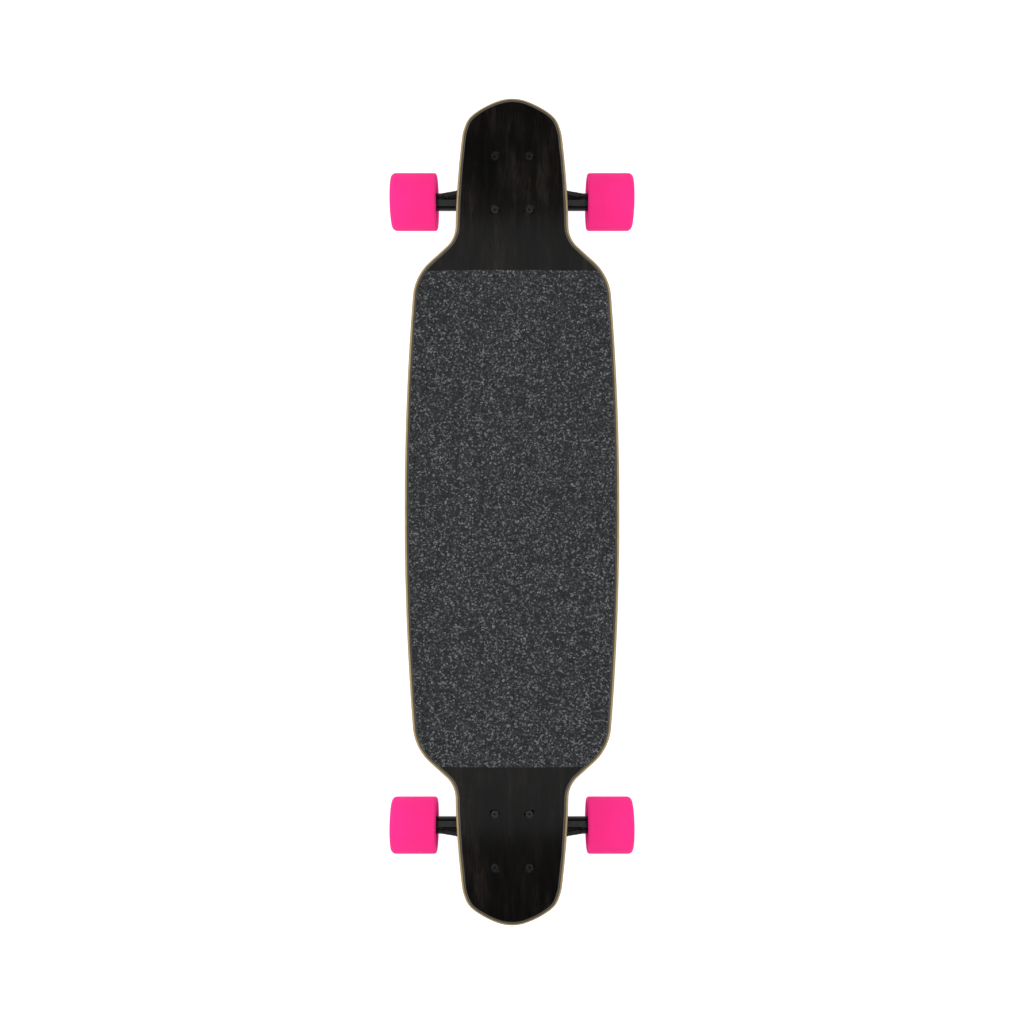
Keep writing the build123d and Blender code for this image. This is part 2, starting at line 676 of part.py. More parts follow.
motor_outer_races = group(
    sleeve(MOTOR_BEARING - WHEEL_X, MOTOR_BEARING_END - WHEEL_X, 7.8, MOTOR_BEARING_RADIUS),
    sleeve(END_BEARING - WHEEL_X, REAR_WASHER - WHEEL_X, SHIELD_GAP, BEARING_RADIUS),
)
for corner in ("rear_left", "rear_right"):
    place = WHEELS[corner]
    save(rear_tyre.moved(place), f"{corner}_tyre")
    save(rotor.part.moved(place), f"{corner}_rotor")
    save(magnets.part.moved(place), f"{corner}_magnets")
    save(motor_cover.part.moved(place), f"{corner}_motor_cover")
    save(motor_outer_races.moved(place), f"{corner}_outer_races")

with BuildPart() as motor_shaft:
    add(sleeve(HANGER_HALF, MOTOR_BEARING, AXLE_RADIUS, 7.2))
    add(sleeve(MOTOR_BEARING, MOTOR_BEARING_END, AXLE_RADIUS, SHAFT_RADIUS))
    add(sleeve(MOTOR_BEARING_END, END_BEARING - 1, AXLE_RADIUS, STATOR_BORE))
    add(sleeve(END_BEARING - 1, END_BEARING, AXLE_RADIUS, INNER_RACE - 0.2))
save(both_sides(motor_shaft.part).moved(REAR), "motor_shafts")

TOOTH_WIDTH = 3.6
TOOTH_LENGTH = 10.5
TOOTH_MIDDLE = 16.2
with BuildPart() as stator:
    with BuildSketch(Plane.YZ.offset(STATOR_START)):
        Circle(11.5)
        with PolarLocations(TOOTH_MIDDLE, TEETH):
            Rectangle(TOOTH_LENGTH, TOOTH_WIDTH)
        with PolarLocations(0, TEETH):
            add(arc_segment(STATOR_RADIUS, 2.0, 24))
        Circle(STATOR_BORE, mode=Mode.SUBTRACT)
    extrude(amount=STATOR_END - STATOR_START)
save(both_sides(stator.part).moved(REAR), "stators")

COIL_OVERHANG = 1.5
COIL_WIDTH = 6.0
with BuildPart() as coils:
    with BuildSketch(Plane.YZ.offset(STATOR_START - COIL_OVERHANG)):
        with PolarLocations(16.4, TEETH):
            RectangleRounded(7.2, COIL_WIDTH, 0.8)
    extrude(amount=STATOR_END - STATOR_START + 2 * COIL_OVERHANG)
    with BuildSketch(Plane.YZ.offset(STATOR_START)):
        with PolarLocations(TOOTH_MIDDLE, TEETH):
            Rectangle(TOOTH_LENGTH, TOOTH_WIDTH)
    extrude(amount=STATOR_END - STATOR_START, mode=Mode.SUBTRACT)
save(both_sides(coils.part).moved(REAR), "stator_coils")

save(axle(REAR_AXLE_END).moved(REAR), "rear_axle")
rear_races = both_sides(
    sleeve(MOTOR_BEARING, MOTOR_BEARING_END, SHAFT_RADIUS, 7.4),
    bearing_race(END_BEARING),
)
save(rear_races.moved(REAR), "rear_inner_races")
rear_washers = both_sides(sleeve(REAR_WASHER, REAR_NUT, AXLE_RADIUS, INNER_RACE - 0.3))
save(rear_washers.moved(REAR), "rear_speed_washers")
save(both_sides(lock_nut(REAR_NUT, NUT_HEIGHT, AXLE_RADIUS, 12.7)).moved(REAR), "rear_axle_nuts")

# ---- Electronics tub under the deck ----------------------------------------------------------
FLANGE_BOTTOM = FLANGE_TOP - FLANGE_THICKNESS
TUB_CORNER = 20.0
TUB_EDGE = 8.0
BUTTON_Y = -190.0
SOCKET_Y = -95.0
FITTING_Z = TUB_FLOOR + 14.0    # height of the button and the socket in the tub's side
BEZEL_RADIUS = 6.5
SOCKET_RADIUS = 8.0
GLAND_X = 45.0
GLAND_RADIUS = 6.0
SINK_Y = -190.0
SINK_WINDOW = (70.0, 84.0)


def tub_rectangle(margin=0, mode=Mode.ADD):
    """The tub's rounded rectangle, grown or shrunk all round by a margin."""
    RectangleRounded(TUB_WIDTH + 2 * margin, TUB_LENGTH + 2 * margin, TUB_CORNER + margin, mode=mode)


with BuildPart() as enclosure:
    with BuildSketch(Plane.XY.offset(TUB_FLOOR)):
        with Locations((0, TUB_Y)):
            tub_rectangle()
    extrude(amount=TUB_DEPTH)
    fillet(enclosure.faces().sort_by(Axis.Z)[0].edges(), TUB_EDGE)
    with BuildSketch(Plane.XY.offset(FLANGE_BOTTOM)):
        with Locations((0, TUB_Y)):
            tub_rectangle(FLANGE_MARGIN)
    extrude(amount=FLANGE_THICKNESS)

with BuildPart() as tub_hollow:
    with BuildSketch(Plane.XY.offset(TUB_FLOOR + TUB_WALL)):
        with Locations((0, TUB_Y)):
            tub_rectangle(-TUB_WALL)
    extrude(amount=TUB_DEPTH)
    fillet(tub_hollow.faces().sort_by(Axis.Z)[0].edges(), TUB_EDGE - TUB_WALL)

with enclosure:
    add(tub_hollow.part, mode=Mode.SUBTRACT)
    with BuildSketch(Plane.XY.offset(FLANGE_BOTTOM)):
        with Locations(*TUB_SCREWS):
            Circle(SCREW_RADIUS)
    extrude(amount=FLANGE_THICKNESS, mode=Mode.SUBTRACT)
    with BuildSketch(Plane.YZ.offset(TUB_SIDE - 2 * TUB_WALL)):
        with Locations((BUTTON_Y, FITTING_Z)):
            Circle(BEZEL_RADIUS)
        with Locations((SOCKET_Y, FITTING_Z)):
            Circle(SOCKET_RADIUS)
    extrude(amount=2 * TUB_WALL, mode=Mode.SUBTRACT)
    with BuildSketch(Plane.XZ.offset(-TUB_TAIL - TUB_WALL)):
        with Locations((GLAND_X, FITTING_Z), (-GLAND_X, FITTING_Z)):
            Circle(GLAND_RADIUS)
    extrude(amount=TUB_WALL, mode=Mode.SUBTRACT)
    with BuildSketch(Plane.XY.offset(TUB_FLOOR)):
        with Locations((0, SINK_Y)):
            RectangleRounded(*SINK_WINDOW, 4)
    extrude(amount=TUB_WALL, mode=Mode.SUBTRACT)
enclosure.part.label = "enclosure"
export_step(enclosure.part, "parts/enclosure.step")

with BuildPart() as enclosure_gasket:
    with BuildSketch(Plane.XY.offset(FLANGE_TOP)):
        with Locations((0, TUB_Y)):
            tub_rectangle(FLANGE_MARGIN)
            tub_rectangle(-TUB_WALL, Mode.SUBTRACT)
        with Locations(*TUB_SCREWS):
            Circle(SCREW_RADIUS, mode=Mode.SUBTRACT)
    extrude(amount=GASKET_THICKNESS)
enclosure_gasket.part.label = "enclosure_gasket"
export_step(enclosure_gasket.part, "parts/enclosure_gasket.step")

with BuildPart() as enclosure_screws:
    with BuildSketch(Plane.XY.offset(FLANGE_BOTTOM)):
        with Locations(*TUB_SCREWS):
            Circle(SCREW_RADIUS)
    extrude(amount=FLANGE_THICKNESS + GASKET_THICKNESS + INSERT_LENGTH - 1.5)
    with BuildSketch(Plane.XY.offset(FLANGE_BOTTOM)):
        with Locations(*TUB_SCREWS):
            Circle(3.5)
    extrude(amount=-2.2)
    fillet(enclosure_screws.edges().group_by(Axis.Z)[0], 1.0)
    with BuildSketch(Plane.XY.offset(FLANGE_BOTTOM - 2.2)):
        with Locations(*TUB_SCREWS):
            RegularPolygon(1.25, 6, major_radius=False)
    extrude(amount=1.4, mode=Mode.SUBTRACT)
enclosure_screws.part.label = "enclosure_screws"
export_step(enclosure_screws.part, "parts/enclosure_screws.step")

with BuildPart() as threaded_inserts:
    with BuildSketch(Plane.XY.offset(DECK_BOTTOM)):
        with Locations(*TUB_SCREWS):
            Circle(INSERT_RADIUS)
        with Locations(*TUB_SCREWS):
            Circle(SCREW_RADIUS, mode=Mode.SUBTRACT)
    extrude(amount=INSERT_LENGTH)
threaded_inserts.part.label = "threaded_inserts"
export_step(threaded_inserts.part, "parts/threaded_inserts.step")

# ---- Battery ---------------------------------------------------------------------------------
BATTERY_START = -55.0
CELL_Z = TUB_FLOOR + TUB_WALL + CELL_RADIUS + 1.3
CELL_ENDS = 2 * CELL_LENGTH / 2 + 1.0
STRIP_THICKNESS = 0.3
cell_rows = [BATTERY_START + CELL_PITCH * (row + 0.5) for row in range(CELL_ROWS)]
cell_places = [(y, CELL_Z) for y in cell_rows]

with BuildPart() as battery_cells:
    for start in (1.0, -1.0 - CELL_LENGTH):
        with BuildSketch(Plane.YZ.offset(start)):
            with Locations(*cell_places):
                Circle(CELL_RADIUS)
        extrude(amount=CELL_LENGTH)
    fillet(battery_cells.edges(), 0.6)
battery_cells.part.label = "battery_cells"
export_step(battery_cells.part, "parts/battery_cells.step")

with BuildPart() as cell_strips:
    for start in (CELL_ENDS, -CELL_ENDS - STRIP_THICKNESS):
        for pair in range(0, CELL_ROWS - 2, 3):
            with BuildSketch(Plane.YZ.offset(start)):
                with Locations((cell_rows[pair + 1], CELL_Z)):
                    RectangleRounded(2 * CELL_PITCH + 8, 8, 3)
            extrude(amount=STRIP_THICKNESS)
cell_strips.part.label = "cell_strips"
export_step(cell_strips.part, "parts/cell_strips.step")

# ---- Circuit boards and heat sink ------------------------------------------------------------
BOARD_THICKNESS = 1.6
BOARD_Z = TUB_FLOOR + TUB_WALL + 6
CONTROLLER_Y = -192.0

with BuildPart() as bms_board:
    with BuildSketch(Plane.XY.offset(BOARD_Z)):
        with Locations((0, -90)):
            RectangleRounded(100, 52, 2)
    extrude(amount=BOARD_THICKNESS)
    with BuildSketch(Plane.XY.offset(BOARD_Z + BOARD_THICKNESS)):
        with Locations((0, -90)):
            with GridLocations(16, 30, 6, 2):
                Rectangle(9, 6.5)
    extrude(amount=2.4)
bms_board.part.label = "bms_board"
export_step(bms_board.part, "parts/bms_board.step")

capacitor_places = [(x, -150) for x in (-36, -18, 0, 18, 36)]
with BuildPart() as controller_board:
    with BuildSketch(Plane.XY.offset(BOARD_Z)):
        with Locations((0, CONTROLLER_Y)):
            RectangleRounded(108, 104, 3)
    extrude(amount=BOARD_THICKNESS)
    with BuildSketch(Plane.XY.offset(BOARD_Z + BOARD_THICKNESS)):
        with Locations((0, CONTROLLER_Y - 12)):
            with GridLocations(16, 24, 6, 2):
                Rectangle(10, 9)
    extrude(amount=3)
controller_board.part.label = "controller_board"
export_step(controller_board.part, "parts/controller_board.step")

with BuildPart() as controller_capacitors:
    with BuildSketch(Plane.XY.offset(BOARD_Z + BOARD_THICKNESS)):
        with Locations(*capacitor_places):
            Circle(6.2)
    extrude(amount=14)
    fillet(controller_capacitors.edges().group_by(Axis.Z)[-1], 0.8)
controller_capacitors.part.label = "controller_capacitors"
export_step(controller_capacitors.part, "parts/controller_capacitors.step")

with BuildPart() as heat_sink:
    with BuildSketch(Plane.XY.offset(TUB_FLOOR)):
        with Locations((0, SINK_Y)):
            RectangleRounded(*SINK_WINDOW, 4)
    extrude(amount=BOARD_Z - TUB_FLOOR)
    with BuildSketch(Plane.XY.offset(TUB_FLOOR)):
        with Locations((0, SINK_Y)):
            with GridLocations(6.5, 1, 10, 1):
                Rectangle(2.2, SINK_WINDOW[1] - 8)
    extrude(amount=-4)
heat_sink.part.label = "heat_sink"
export_step(heat_sink.part, "parts/heat_sink.step")

# ---- Power button ----------------------------------------------------------------------------
BUTTON_RADIUS = 5.0
BUTTON_GAP = 0.4
BUTTON_TRAVEL = 1.2
BEZEL_PROUD = 1.5

with BuildPart() as power_button_bezel:
    with BuildSketch(Plane.YZ.offset(TUB_SIDE - 11)):
        with Locations((BUTTON_Y, FITTING_Z)):
            Circle(BEZEL_RADIUS)
    extrude(amount=11)
    with BuildSketch(Plane.YZ.offset(TUB_SIDE)):
        with Locations((BUTTON_Y, FITTING_Z)):
            Circle(BEZEL_RADIUS + 2.5)
    extrude(amount=BEZEL_PROUD)
    fillet(power_button_bezel.edges().group_by(Axis.X)[-1], 0.6)
    with BuildSketch(Plane.YZ.offset(TUB_SIDE - 9)):
        with Locations((BUTTON_Y, FITTING_Z)):
            Circle(BUTTON_RADIUS + BUTTON_GAP)
    extrude(amount=20, mode=Mode.SUBTRACT)
power_button_bezel.part.label = "power_button_bezel"
export_step(power_button_bezel.part, "parts/power_button_bezel.step")

with BuildPart() as power_button:
    with BuildSketch(Plane.YZ.offset(TUB_SIDE - 9 + BUTTON_TRAVEL + 0.5)):
        with Locations((BUTTON_Y, FITTING_Z)):
            Circle(BUTTON_RADIUS)
    extrude(amount=9 + BEZEL_PROUD - 0.5)
    fillet(power_button.edges().group_by(Axis.X)[-1], 0.6)
power_button.part.label = "power_button"
export_step(power_button.part, "parts/power_button.step")

# ---- Charge socket and its hinged cap --------------------------------------------------------
SOCKET_BORE = 5.0
CAP_RADIUS = 9.0
CAP_THICKNESS = 2.5
CAP_FACE = TUB_SIDE + 1.9
HINGE_Y = SOCKET_Y - 13.0
HINGE_X = CAP_FACE + CAP_THICKNESS / 2
HINGE_PIN = 1.0
EAR_RADIUS = 2.4

with BuildPart() as charge_socket:
    with BuildSketch(Plane.YZ.offset(TUB_SIDE - 13)):
        with Locations((SOCKET_Y, FITTING_Z)):
            Circle(SOCKET_RADIUS)
    extrude(amount=13)
    with BuildSketch(Plane.YZ.offset(TUB_SIDE)):
        with Locations((SOCKET_Y, FITTING_Z)):
            RectangleRounded(2 * SOCKET_RADIUS + 4, 2 * SOCKET_RADIUS + 3, 3)
    extrude(amount=1.5)
    with BuildSketch(Plane.YZ.offset(TUB_SIDE - 11)):
        with Locations((SOCKET_Y, FITTING_Z)):
            Circle(SOCKET_BORE)
    extrude(amount=30, mode=Mode.SUBTRACT)
    # centre contact
    with BuildSketch(Plane.YZ.offset(TUB_SIDE - 11)):
        with Locations((SOCKET_Y, FITTING_Z)):
            Circle(1.2)
    extrude(amount=2.5)
    # two hinge lugs with a pin between them
    with BuildSketch(Plane.XY.offset(FITTING_Z - 6)):
        with Locations((HINGE_X, HINGE_Y)):
            Circle(EAR_RADIUS)
        with Locations(((TUB_SIDE + HINGE_X) / 2, HINGE_Y + 1)):
            Rectangle(HINGE_X - TUB_SIDE, 2 * EAR_RADIUS + 2)
    extrude(amount=12)
    with BuildSketch(Plane.XY.offset(FITTING_Z - 4)):
        with Locations((HINGE_X + 2, HINGE_Y + 2)):
            Rectangle(9, 2 * EAR_RADIUS + 6)
    extrude(amount=8, mode=Mode.SUBTRACT)
    with BuildSketch(Plane.XY.offset(FITTING_Z - 5)):
        with Locations((HINGE_X, HINGE_Y)):
            Circle(HINGE_PIN)
    extrude(amount=10)
charge_socket.part.label = "charge_socket"
export_step(charge_socket.part, "parts/charge_socket.step")

with BuildPart() as charge_port_cap:
    with BuildSketch(Plane.YZ.offset(CAP_FACE)):
        with Locations((SOCKET_Y, FITTING_Z)):
            Circle(CAP_RADIUS)
        with Locations(((SOCKET_Y + HINGE_Y) / 2, FITTING_Z)):
            Rectangle(SOCKET_Y - HINGE_Y, 7)
    extrude(amount=CAP_THICKNESS)
    with BuildSketch(Plane.YZ.offset(CAP_FACE)):
        with Locations((SOCKET_Y, FITTING_Z)):
            Circle(SOCKET_BORE - 0.9)
    extrude(amount=-3)
    with BuildSketch(Plane.XY.offset(FITTING_Z - 3.5)):
        with Locations((HINGE_X, HINGE_Y)):
            Circle(2.2)
    extrude(amount=7)
    with BuildSketch(Plane.XY.offset(FITTING_Z - 5)):
        with Locations((HINGE_X, HINGE_Y)):
            Circle(HINGE_PIN + RUNNING_FIT)
    extrude(amount=10, mode=Mode.SUBTRACT)
charge_port_cap.part.label = "charge_port_cap"
export_step(charge_port_cap.part, "parts/charge_port_cap.step")

# ---- Cable glands and motor cables -----------------------------------------------------------
CABLE_RADIUS = 3.0
GLAND_LENGTH = 12.0
with BuildPart() as tub_gland:
    with BuildSketch(Plane.XZ.offset(-TUB_TAIL - TUB_WALL)):
        Circle(GLAND_RADIUS)
    extrude(amount=TUB_WALL)
    with BuildSketch(Plane.XZ.offset(-TUB_TAIL)):
        RegularPolygon(8.0, 6, major_radius=False)
    extrude(amount=4)
    with BuildSketch(Plane.XZ.offset(-TUB_TAIL + 4)):
        Circle(7.0)
    extrude(amount=GLAND_LENGTH - 4, taper=14)
with BuildPart() as cable_glands:
    with Locations((GLAND_X, 0, FITTING_Z), (-GLAND_X, 0, FITTING_Z)):
        add(tub_gland.part)
cable_glands.part.label = "cable_glands"
export_step(cable_glands.part, "parts/cable_glands.step")

# From the gland's end down to the inboard side of the rear hanger, x on the right
CABLE_ROUTE = [
    (GLAND_X, TUB_TAIL - GLAND_LENGTH, FITTING_Z),
    (GLAND_X + 0.5, TUB_TAIL - 32, FITTING_Z - 1),
    (GLAND_X + 3, TUB_TAIL - 56, FITTING_Z - 12),
    (GLAND_X + 8, TUB_TAIL - 78, FITTING_Z - 32),
    (GLAND_X + 12, TUB_TAIL - 98, FITTING_Z - 51),
    (GLAND_X + 13, -AXLE_Y + HANGER_RADIUS + 1.6, FITTING_Z - 61.0),
]


def corner_radii(points):
    """The largest arc that each corner's two runs allow."""
    radii = []
    for before, corner, after in zip(points, points[1:], points[2:]):
        run_in = Vector(*corner) - Vector(*before)
        run_out = Vector(*after) - Vector(*corner)
        half_turn = radians(run_in.get_angle(run_out)) / 2
        radii.append(0.45 * min(run_in.length, run_out.length) * cos(half_turn) / sin(half_turn))
    return radii


print("motor cable radii", [round(radius, 1) for radius in corner_radii(CABLE_ROUTE)])
for side, name in ((-1, "left_motor_cable"), (1, "right_motor_cable")):
    route = [(side * x, y, z) for x, y, z in CABLE_ROUTE]
    with BuildPart() as motor_cable:
        with BuildLine() as path:
            FilletPolyline(*route, radius=corner_radii(route))
        with BuildSketch(Plane(path.line @ 0, z_dir=path.line % 0)):
            Circle(CABLE_RADIUS)
        sweep()
    length = path.wire().length
    straight_volume = pi * CABLE_RADIUS**2 * length
    print(name, "length", round(length, 1), "volume ratio", motor_cable.part.volume / straight_volume)
    save(motor_cable.part, name)
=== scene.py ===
import json
import math

import bmesh
import bpy
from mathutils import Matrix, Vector


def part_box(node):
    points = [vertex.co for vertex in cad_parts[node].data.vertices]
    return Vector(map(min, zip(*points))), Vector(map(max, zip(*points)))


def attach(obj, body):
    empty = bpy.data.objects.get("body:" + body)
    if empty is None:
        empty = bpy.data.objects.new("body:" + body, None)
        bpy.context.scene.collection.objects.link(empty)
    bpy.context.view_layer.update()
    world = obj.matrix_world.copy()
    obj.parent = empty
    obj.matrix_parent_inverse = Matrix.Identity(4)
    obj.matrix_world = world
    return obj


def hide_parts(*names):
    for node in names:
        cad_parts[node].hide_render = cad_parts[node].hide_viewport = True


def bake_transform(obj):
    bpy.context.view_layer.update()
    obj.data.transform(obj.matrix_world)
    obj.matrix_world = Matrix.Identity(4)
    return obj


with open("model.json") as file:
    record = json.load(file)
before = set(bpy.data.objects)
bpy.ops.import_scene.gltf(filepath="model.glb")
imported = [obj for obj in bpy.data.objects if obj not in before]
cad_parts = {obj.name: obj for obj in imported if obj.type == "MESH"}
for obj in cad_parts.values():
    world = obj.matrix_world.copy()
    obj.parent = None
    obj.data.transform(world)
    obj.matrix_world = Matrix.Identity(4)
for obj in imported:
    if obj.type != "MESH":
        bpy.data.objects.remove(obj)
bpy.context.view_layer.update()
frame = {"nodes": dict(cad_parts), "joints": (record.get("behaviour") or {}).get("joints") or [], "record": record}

# Looks of the electric longboard. Metres, +Z up, +Y to the nose, in the frame of the CAD model.
MM = 0.001
NODES = frame["nodes"]
RECORD = frame["record"]
SLOTS = {row["node"]: row["material_slot"] for row in RECORD["subparts"]}
BODY_OF = {node: body for body, members in RECORD["behaviour"]["bodies"].items() for node in members}
WHEELS = ("front_left", "front_right", "rear_left", "rear_right")
TRUCKS = ("front", "rear")

DECK_LOW, DECK_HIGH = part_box("deck")
DECK_BOTTOM = DECK_LOW.z
DECK_THICKNESS = 11.0 * MM
DECK_TOP = DECK_BOTTOM + DECK_THICKNESS
EDGE_RADIUS = 3.5 * MM
CONCAVE_FLAT = 84.0 * MM
CONCAVE_RADIUS = 115.0 * MM


# ---- Camera, lights and floor ------------------------------------------------------------------
CAMERA_HEIGHT = 1.35           # above the deck
FOCAL_PIXELS = 1130.0
FRAME_PIXELS = 1024.0
SENSOR = 36.0
CAMERA_OFFSET = 0.031          # towards the tail


def make_camera():
    """Straight down, a little tailward of the middle, shifted so that the deck stays centred."""
    data = bpy.data.cameras.new("camera")
    data.sensor_width = SENSOR
    data.lens = FOCAL_PIXELS / FRAME_PIXELS * SENSOR
    data.shift_y = CAMERA_OFFSET / CAMERA_HEIGHT * FOCAL_PIXELS / FRAME_PIXELS
    camera = bpy.data.objects.new("camera", data)
    camera.location = (0, -CAMERA_OFFSET, DECK_TOP + CAMERA_HEIGHT)
    bpy.context.collection.objects.link(camera)
    bpy.context.scene.camera = camera


def area_light(name, place, target, size, power):
    """A soft rectangular light at a place, facing a target."""
    data = bpy.data.lights.new(name, "AREA")
    data.shape = "RECTANGLE"
    data.size, data.size_y = size
    data.energy = power
    light = bpy.data.objects.new(name, data)
    light.location = place
    light.rotation_euler = (Vector(target) - Vector(place)).to_track_quat("-Z", "Y").to_euler()
    bpy.context.collection.objects.link(light)


def make_lights():
    """Low banks all round for the sides and one long softbox over the middle of the board."""
    centre = (0, 0, 0.1)
    area_light("left_bank", (-2.2, 0, 1.7), centre, (2.6, 1.2), 34)
    area_light("right_bank", (2.2, 0, 1.7), centre, (2.6, 1.2), 22)
    area_light("nose_bank", (0, 2.8, 1.7), centre, (1.8, 1.0), 12)
    area_light("tail_bank", (0, -2.8, 1.7), centre, (1.8, 1.0), 12)
    area_light("overhead_softbox", (-0.12, 0, 1.75), (-0.12, 0, 0), (1.3, 1.62), 23)


def make_world():
    """Pale at the horizon and dark overhead, so that glossy faces mirror little but the softbox."""
    world = bpy.data.worlds.new("studio")
    world.use_nodes = True
    tree = world.node_tree
    where = tree.nodes.new("ShaderNodeTexCoord")
    split = tree.nodes.new("ShaderNodeSeparateXYZ")
    ramp = tree.nodes.new("ShaderNodeValToRGB")
    background = tree.nodes["Background"]
    ramp.color_ramp.elements[0].position = 0.12
    ramp.color_ramp.elements[0].color = (1, 1, 1, 1)
    ramp.color_ramp.elements[1].position = 0.5
    ramp.color_ramp.elements[1].color = (0.02, 0.02, 0.02, 1)
    tree.links.new(where.outputs["Generated"], split.inputs["Vector"])
    tree.links.new(split.outputs["Z"], ramp.inputs["Fac"])
    tree.links.new(ramp.outputs["Color"], background.inputs["Color"])
    bpy.context.scene.world = world


# ---- Material tools ----------------------------------------------------------------------------
class Paint:
    """A principled material with short calls for the nodes that feed it."""

    def __init__(self, name, **sockets):
        self.material = bpy.data.materials.new(name)
        self.material.use_nodes = True
        self.tree = self.material.node_tree
        self.shader = self.tree.nodes["Principled BSDF"]
        for socket, value in sockets.items():
            self.shader.inputs[socket.replace("_", " ")].default_value = value
        self.where = self.add("ShaderNodeTexCoord").outputs["Object"]

    def add(self, kind, **values):
        node = self.tree.nodes.new(kind)
        for key, value in values.items():
            if key in node.inputs:
                node.inputs[key].default_value = value
            else:
                setattr(node, key, value)
        return node

    def join(self, source, target):
        self.tree.links.new(source, target)

    def scaled(self, x, y, z):
        """Object coordinates, stretched."""
        mapping = self.add("ShaderNodeMapping")
        mapping.inputs["Scale"].default_value = (x, y, z)
        self.join(self.where, mapping.inputs["Vector"])
        return mapping.outputs["Vector"]

    def noise(self, vector, scale, detail=3.0, roughness=0.55):
        node = self.add("ShaderNodeTexNoise", Scale=scale, Detail=detail, Roughness=roughness)
        self.join(vector, node.inputs["Vector"])
        return node.outputs["Fac"]

    def voronoi(self, vector, scale, output):
        node = self.add("ShaderNodeTexVoronoi", Scale=scale)
        self.join(vector, node.inputs["Vector"])
        return node.outputs[output]

    def ramp(self, factor, *stops):
        """Colours at positions; each stop is (position, colour)."""
        node = self.add("ShaderNodeValToRGB")
        elements = node.color_ramp.elements
        while len(elements) < len(stops):
            elements.new(0.5)
        for element, (position, colour) in zip(elements, stops):
            element.position = position
            element.color = (*colour, 1)
        self.join(factor, node.inputs["Fac"])
        return node.outputs["Color"]

    def span(self, value, low, high, to_low=0.0, to_high=1.0):
        """A value carried from one range to another, and held at its ends."""
        node = self.add("ShaderNodeMapRange")
        limits = {"From Min": low, "From Max": high, "To Min": to_low, "To Max": to_high}
        for socket, number in limits.items():
            node.inputs[socket].default_value = number
        self.join(value, node.inputs["Value"])
        return node.outputs["Result"]

    def mix(self, factor, first, second):
        node = self.add("ShaderNodeMix", data_type="RGBA")
        targets = (node.inputs["Factor"], node.inputs[6], node.inputs[7])
        for socket, value in zip(targets, (factor, first, second)):
            if isinstance(value, bpy.types.NodeSocket):
                self.join(value, socket)
            elif isinstance(value, tuple):
                socket.default_value = (*value, 1)
            else:
                socket.default_value = value
        return node.outputs[2]

    def maths(self, operation, first, second):
        node = self.add("ShaderNodeMath", operation=operation)
        for socket, value in zip(node.inputs, (first, second)):
            if isinstance(value, bpy.types.NodeSocket):
                self.join(value, socket)
            else:
                socket.default_value = value
        return node.outputs[0]

    def attribute(self, name):
        return self.add("ShaderNodeAttribute", attribute_name=name).outputs["Fac"]

    def colour(self, source):
        self.join(source, self.shader.inputs["Base Color"])

    def rough(self, source):
        self.join(source, self.shader.inputs["Roughness"])

    def bump(self, height, distance, strength=1.0):
        """Relief of a real height, in metres; calls stack."""
        node = self.add("ShaderNodeBump", Strength=strength, Distance=distance)
        self.join(height, node.inputs["Height"])
        normal = self.shader.inputs["Normal"]
        if normal.is_linked:
            self.join(normal.links[0].from_socket, node.inputs["Normal"])
        self.join(node.outputs["Normal"], normal)


# ---- Materials ---------------------------------------------------------------------------------
PLY_PAIR = 2.0 * 1.375 * MM    # two of the deck's eight plies


def stained_maple():
    """Black stain over maple with lengthwise grain, bare plies on the rounded edge, and a painted grey highlight
    line just inboard of the rounding.
    """
    paint = Paint("stained_maple", Coat_Weight=0.075, Coat_Roughness=0.1, Specular_IOR_Level=0.03)
    long_grain = paint.noise(paint.scaled(150, 17, 60), 1.0, 6, 0.62)
    fine_grain = paint.noise(paint.scaled(700, 55, 200), 1.0, 4, 0.6)
    figure = paint.noise(paint.scaled(34, 11, 20), 1.0, 4)
    streaks = paint.maths("MULTIPLY", long_grain, paint.span(figure, 0.32, 0.68, 0.62, 1.26))
    stain = paint.ramp(
        streaks,
        (0.30, (0.0012, 0.0011, 0.0010)),
        (0.44, (0.0032, 0.0026, 0.0022)),
        (0.56, (0.0058, 0.0048, 0.0042)),
        (0.74, (0.0120, 0.0094, 0.0078)),
    )
    stain = paint.mix(paint.span(fine_grain, 0.50, 0.66), stain, (0.0012, 0.0011, 0.001))
    depth = paint.attribute("depth")
    ply_grain = paint.noise(paint.scaled(90, 90, 2600), 1.0, 3)
    ply = paint.maths("PINGPONG", depth, PLY_PAIR)
    tan = paint.ramp(
        paint.span(ply, 0, PLY_PAIR),
        (0.00, (0.37, 0.290, 0.160)),
        (0.46, (0.33, 0.250, 0.130)),
        (0.54, (0.22, 0.155, 0.075)),
        (1.00, (0.28, 0.205, 0.100)),
    )
    tan = paint.mix(paint.span(ply_grain, 0.35, 0.75, 0, 0.45), tan, (0.27, 0.2, 0.105))
    inset = paint.span(paint.attribute("inset"), 0, 10 * MM)
    wobble = paint.span(paint.noise(paint.scaled(70, 70, 70), 1.0, 2), 0.3, 0.7, -0.018, 0.018)
    inset = paint.maths("ADD", inset, wobble)
    rim = paint.mix(paint.span(inset, 0.17, 0.255), tan, (0.17, 0.122, 0.055))
    rim = paint.mix(paint.span(inset, 0.265, 0.305), rim, (0.058, 0.044, 0.024))
    # Painted highlight: a thin grey line on the top just inboard of the rounded edge, standing in for the glossy
    # black coat catching the light.
    rim = paint.mix(paint.span(inset, 0.365, 0.395), rim, (0.080, 0.078, 0.078))
    paint.colour(paint.mix(paint.span(inset, 0.455, 0.52), rim, stain))
    paint.rough(paint.span(fine_grain, 0.3, 0.7, 0.3, 0.42))
    paint.bump(long_grain, 0.12 * MM, 0.5)
    paint.bump(fine_grain, 0.05 * MM, 0.6)
    return paint.material


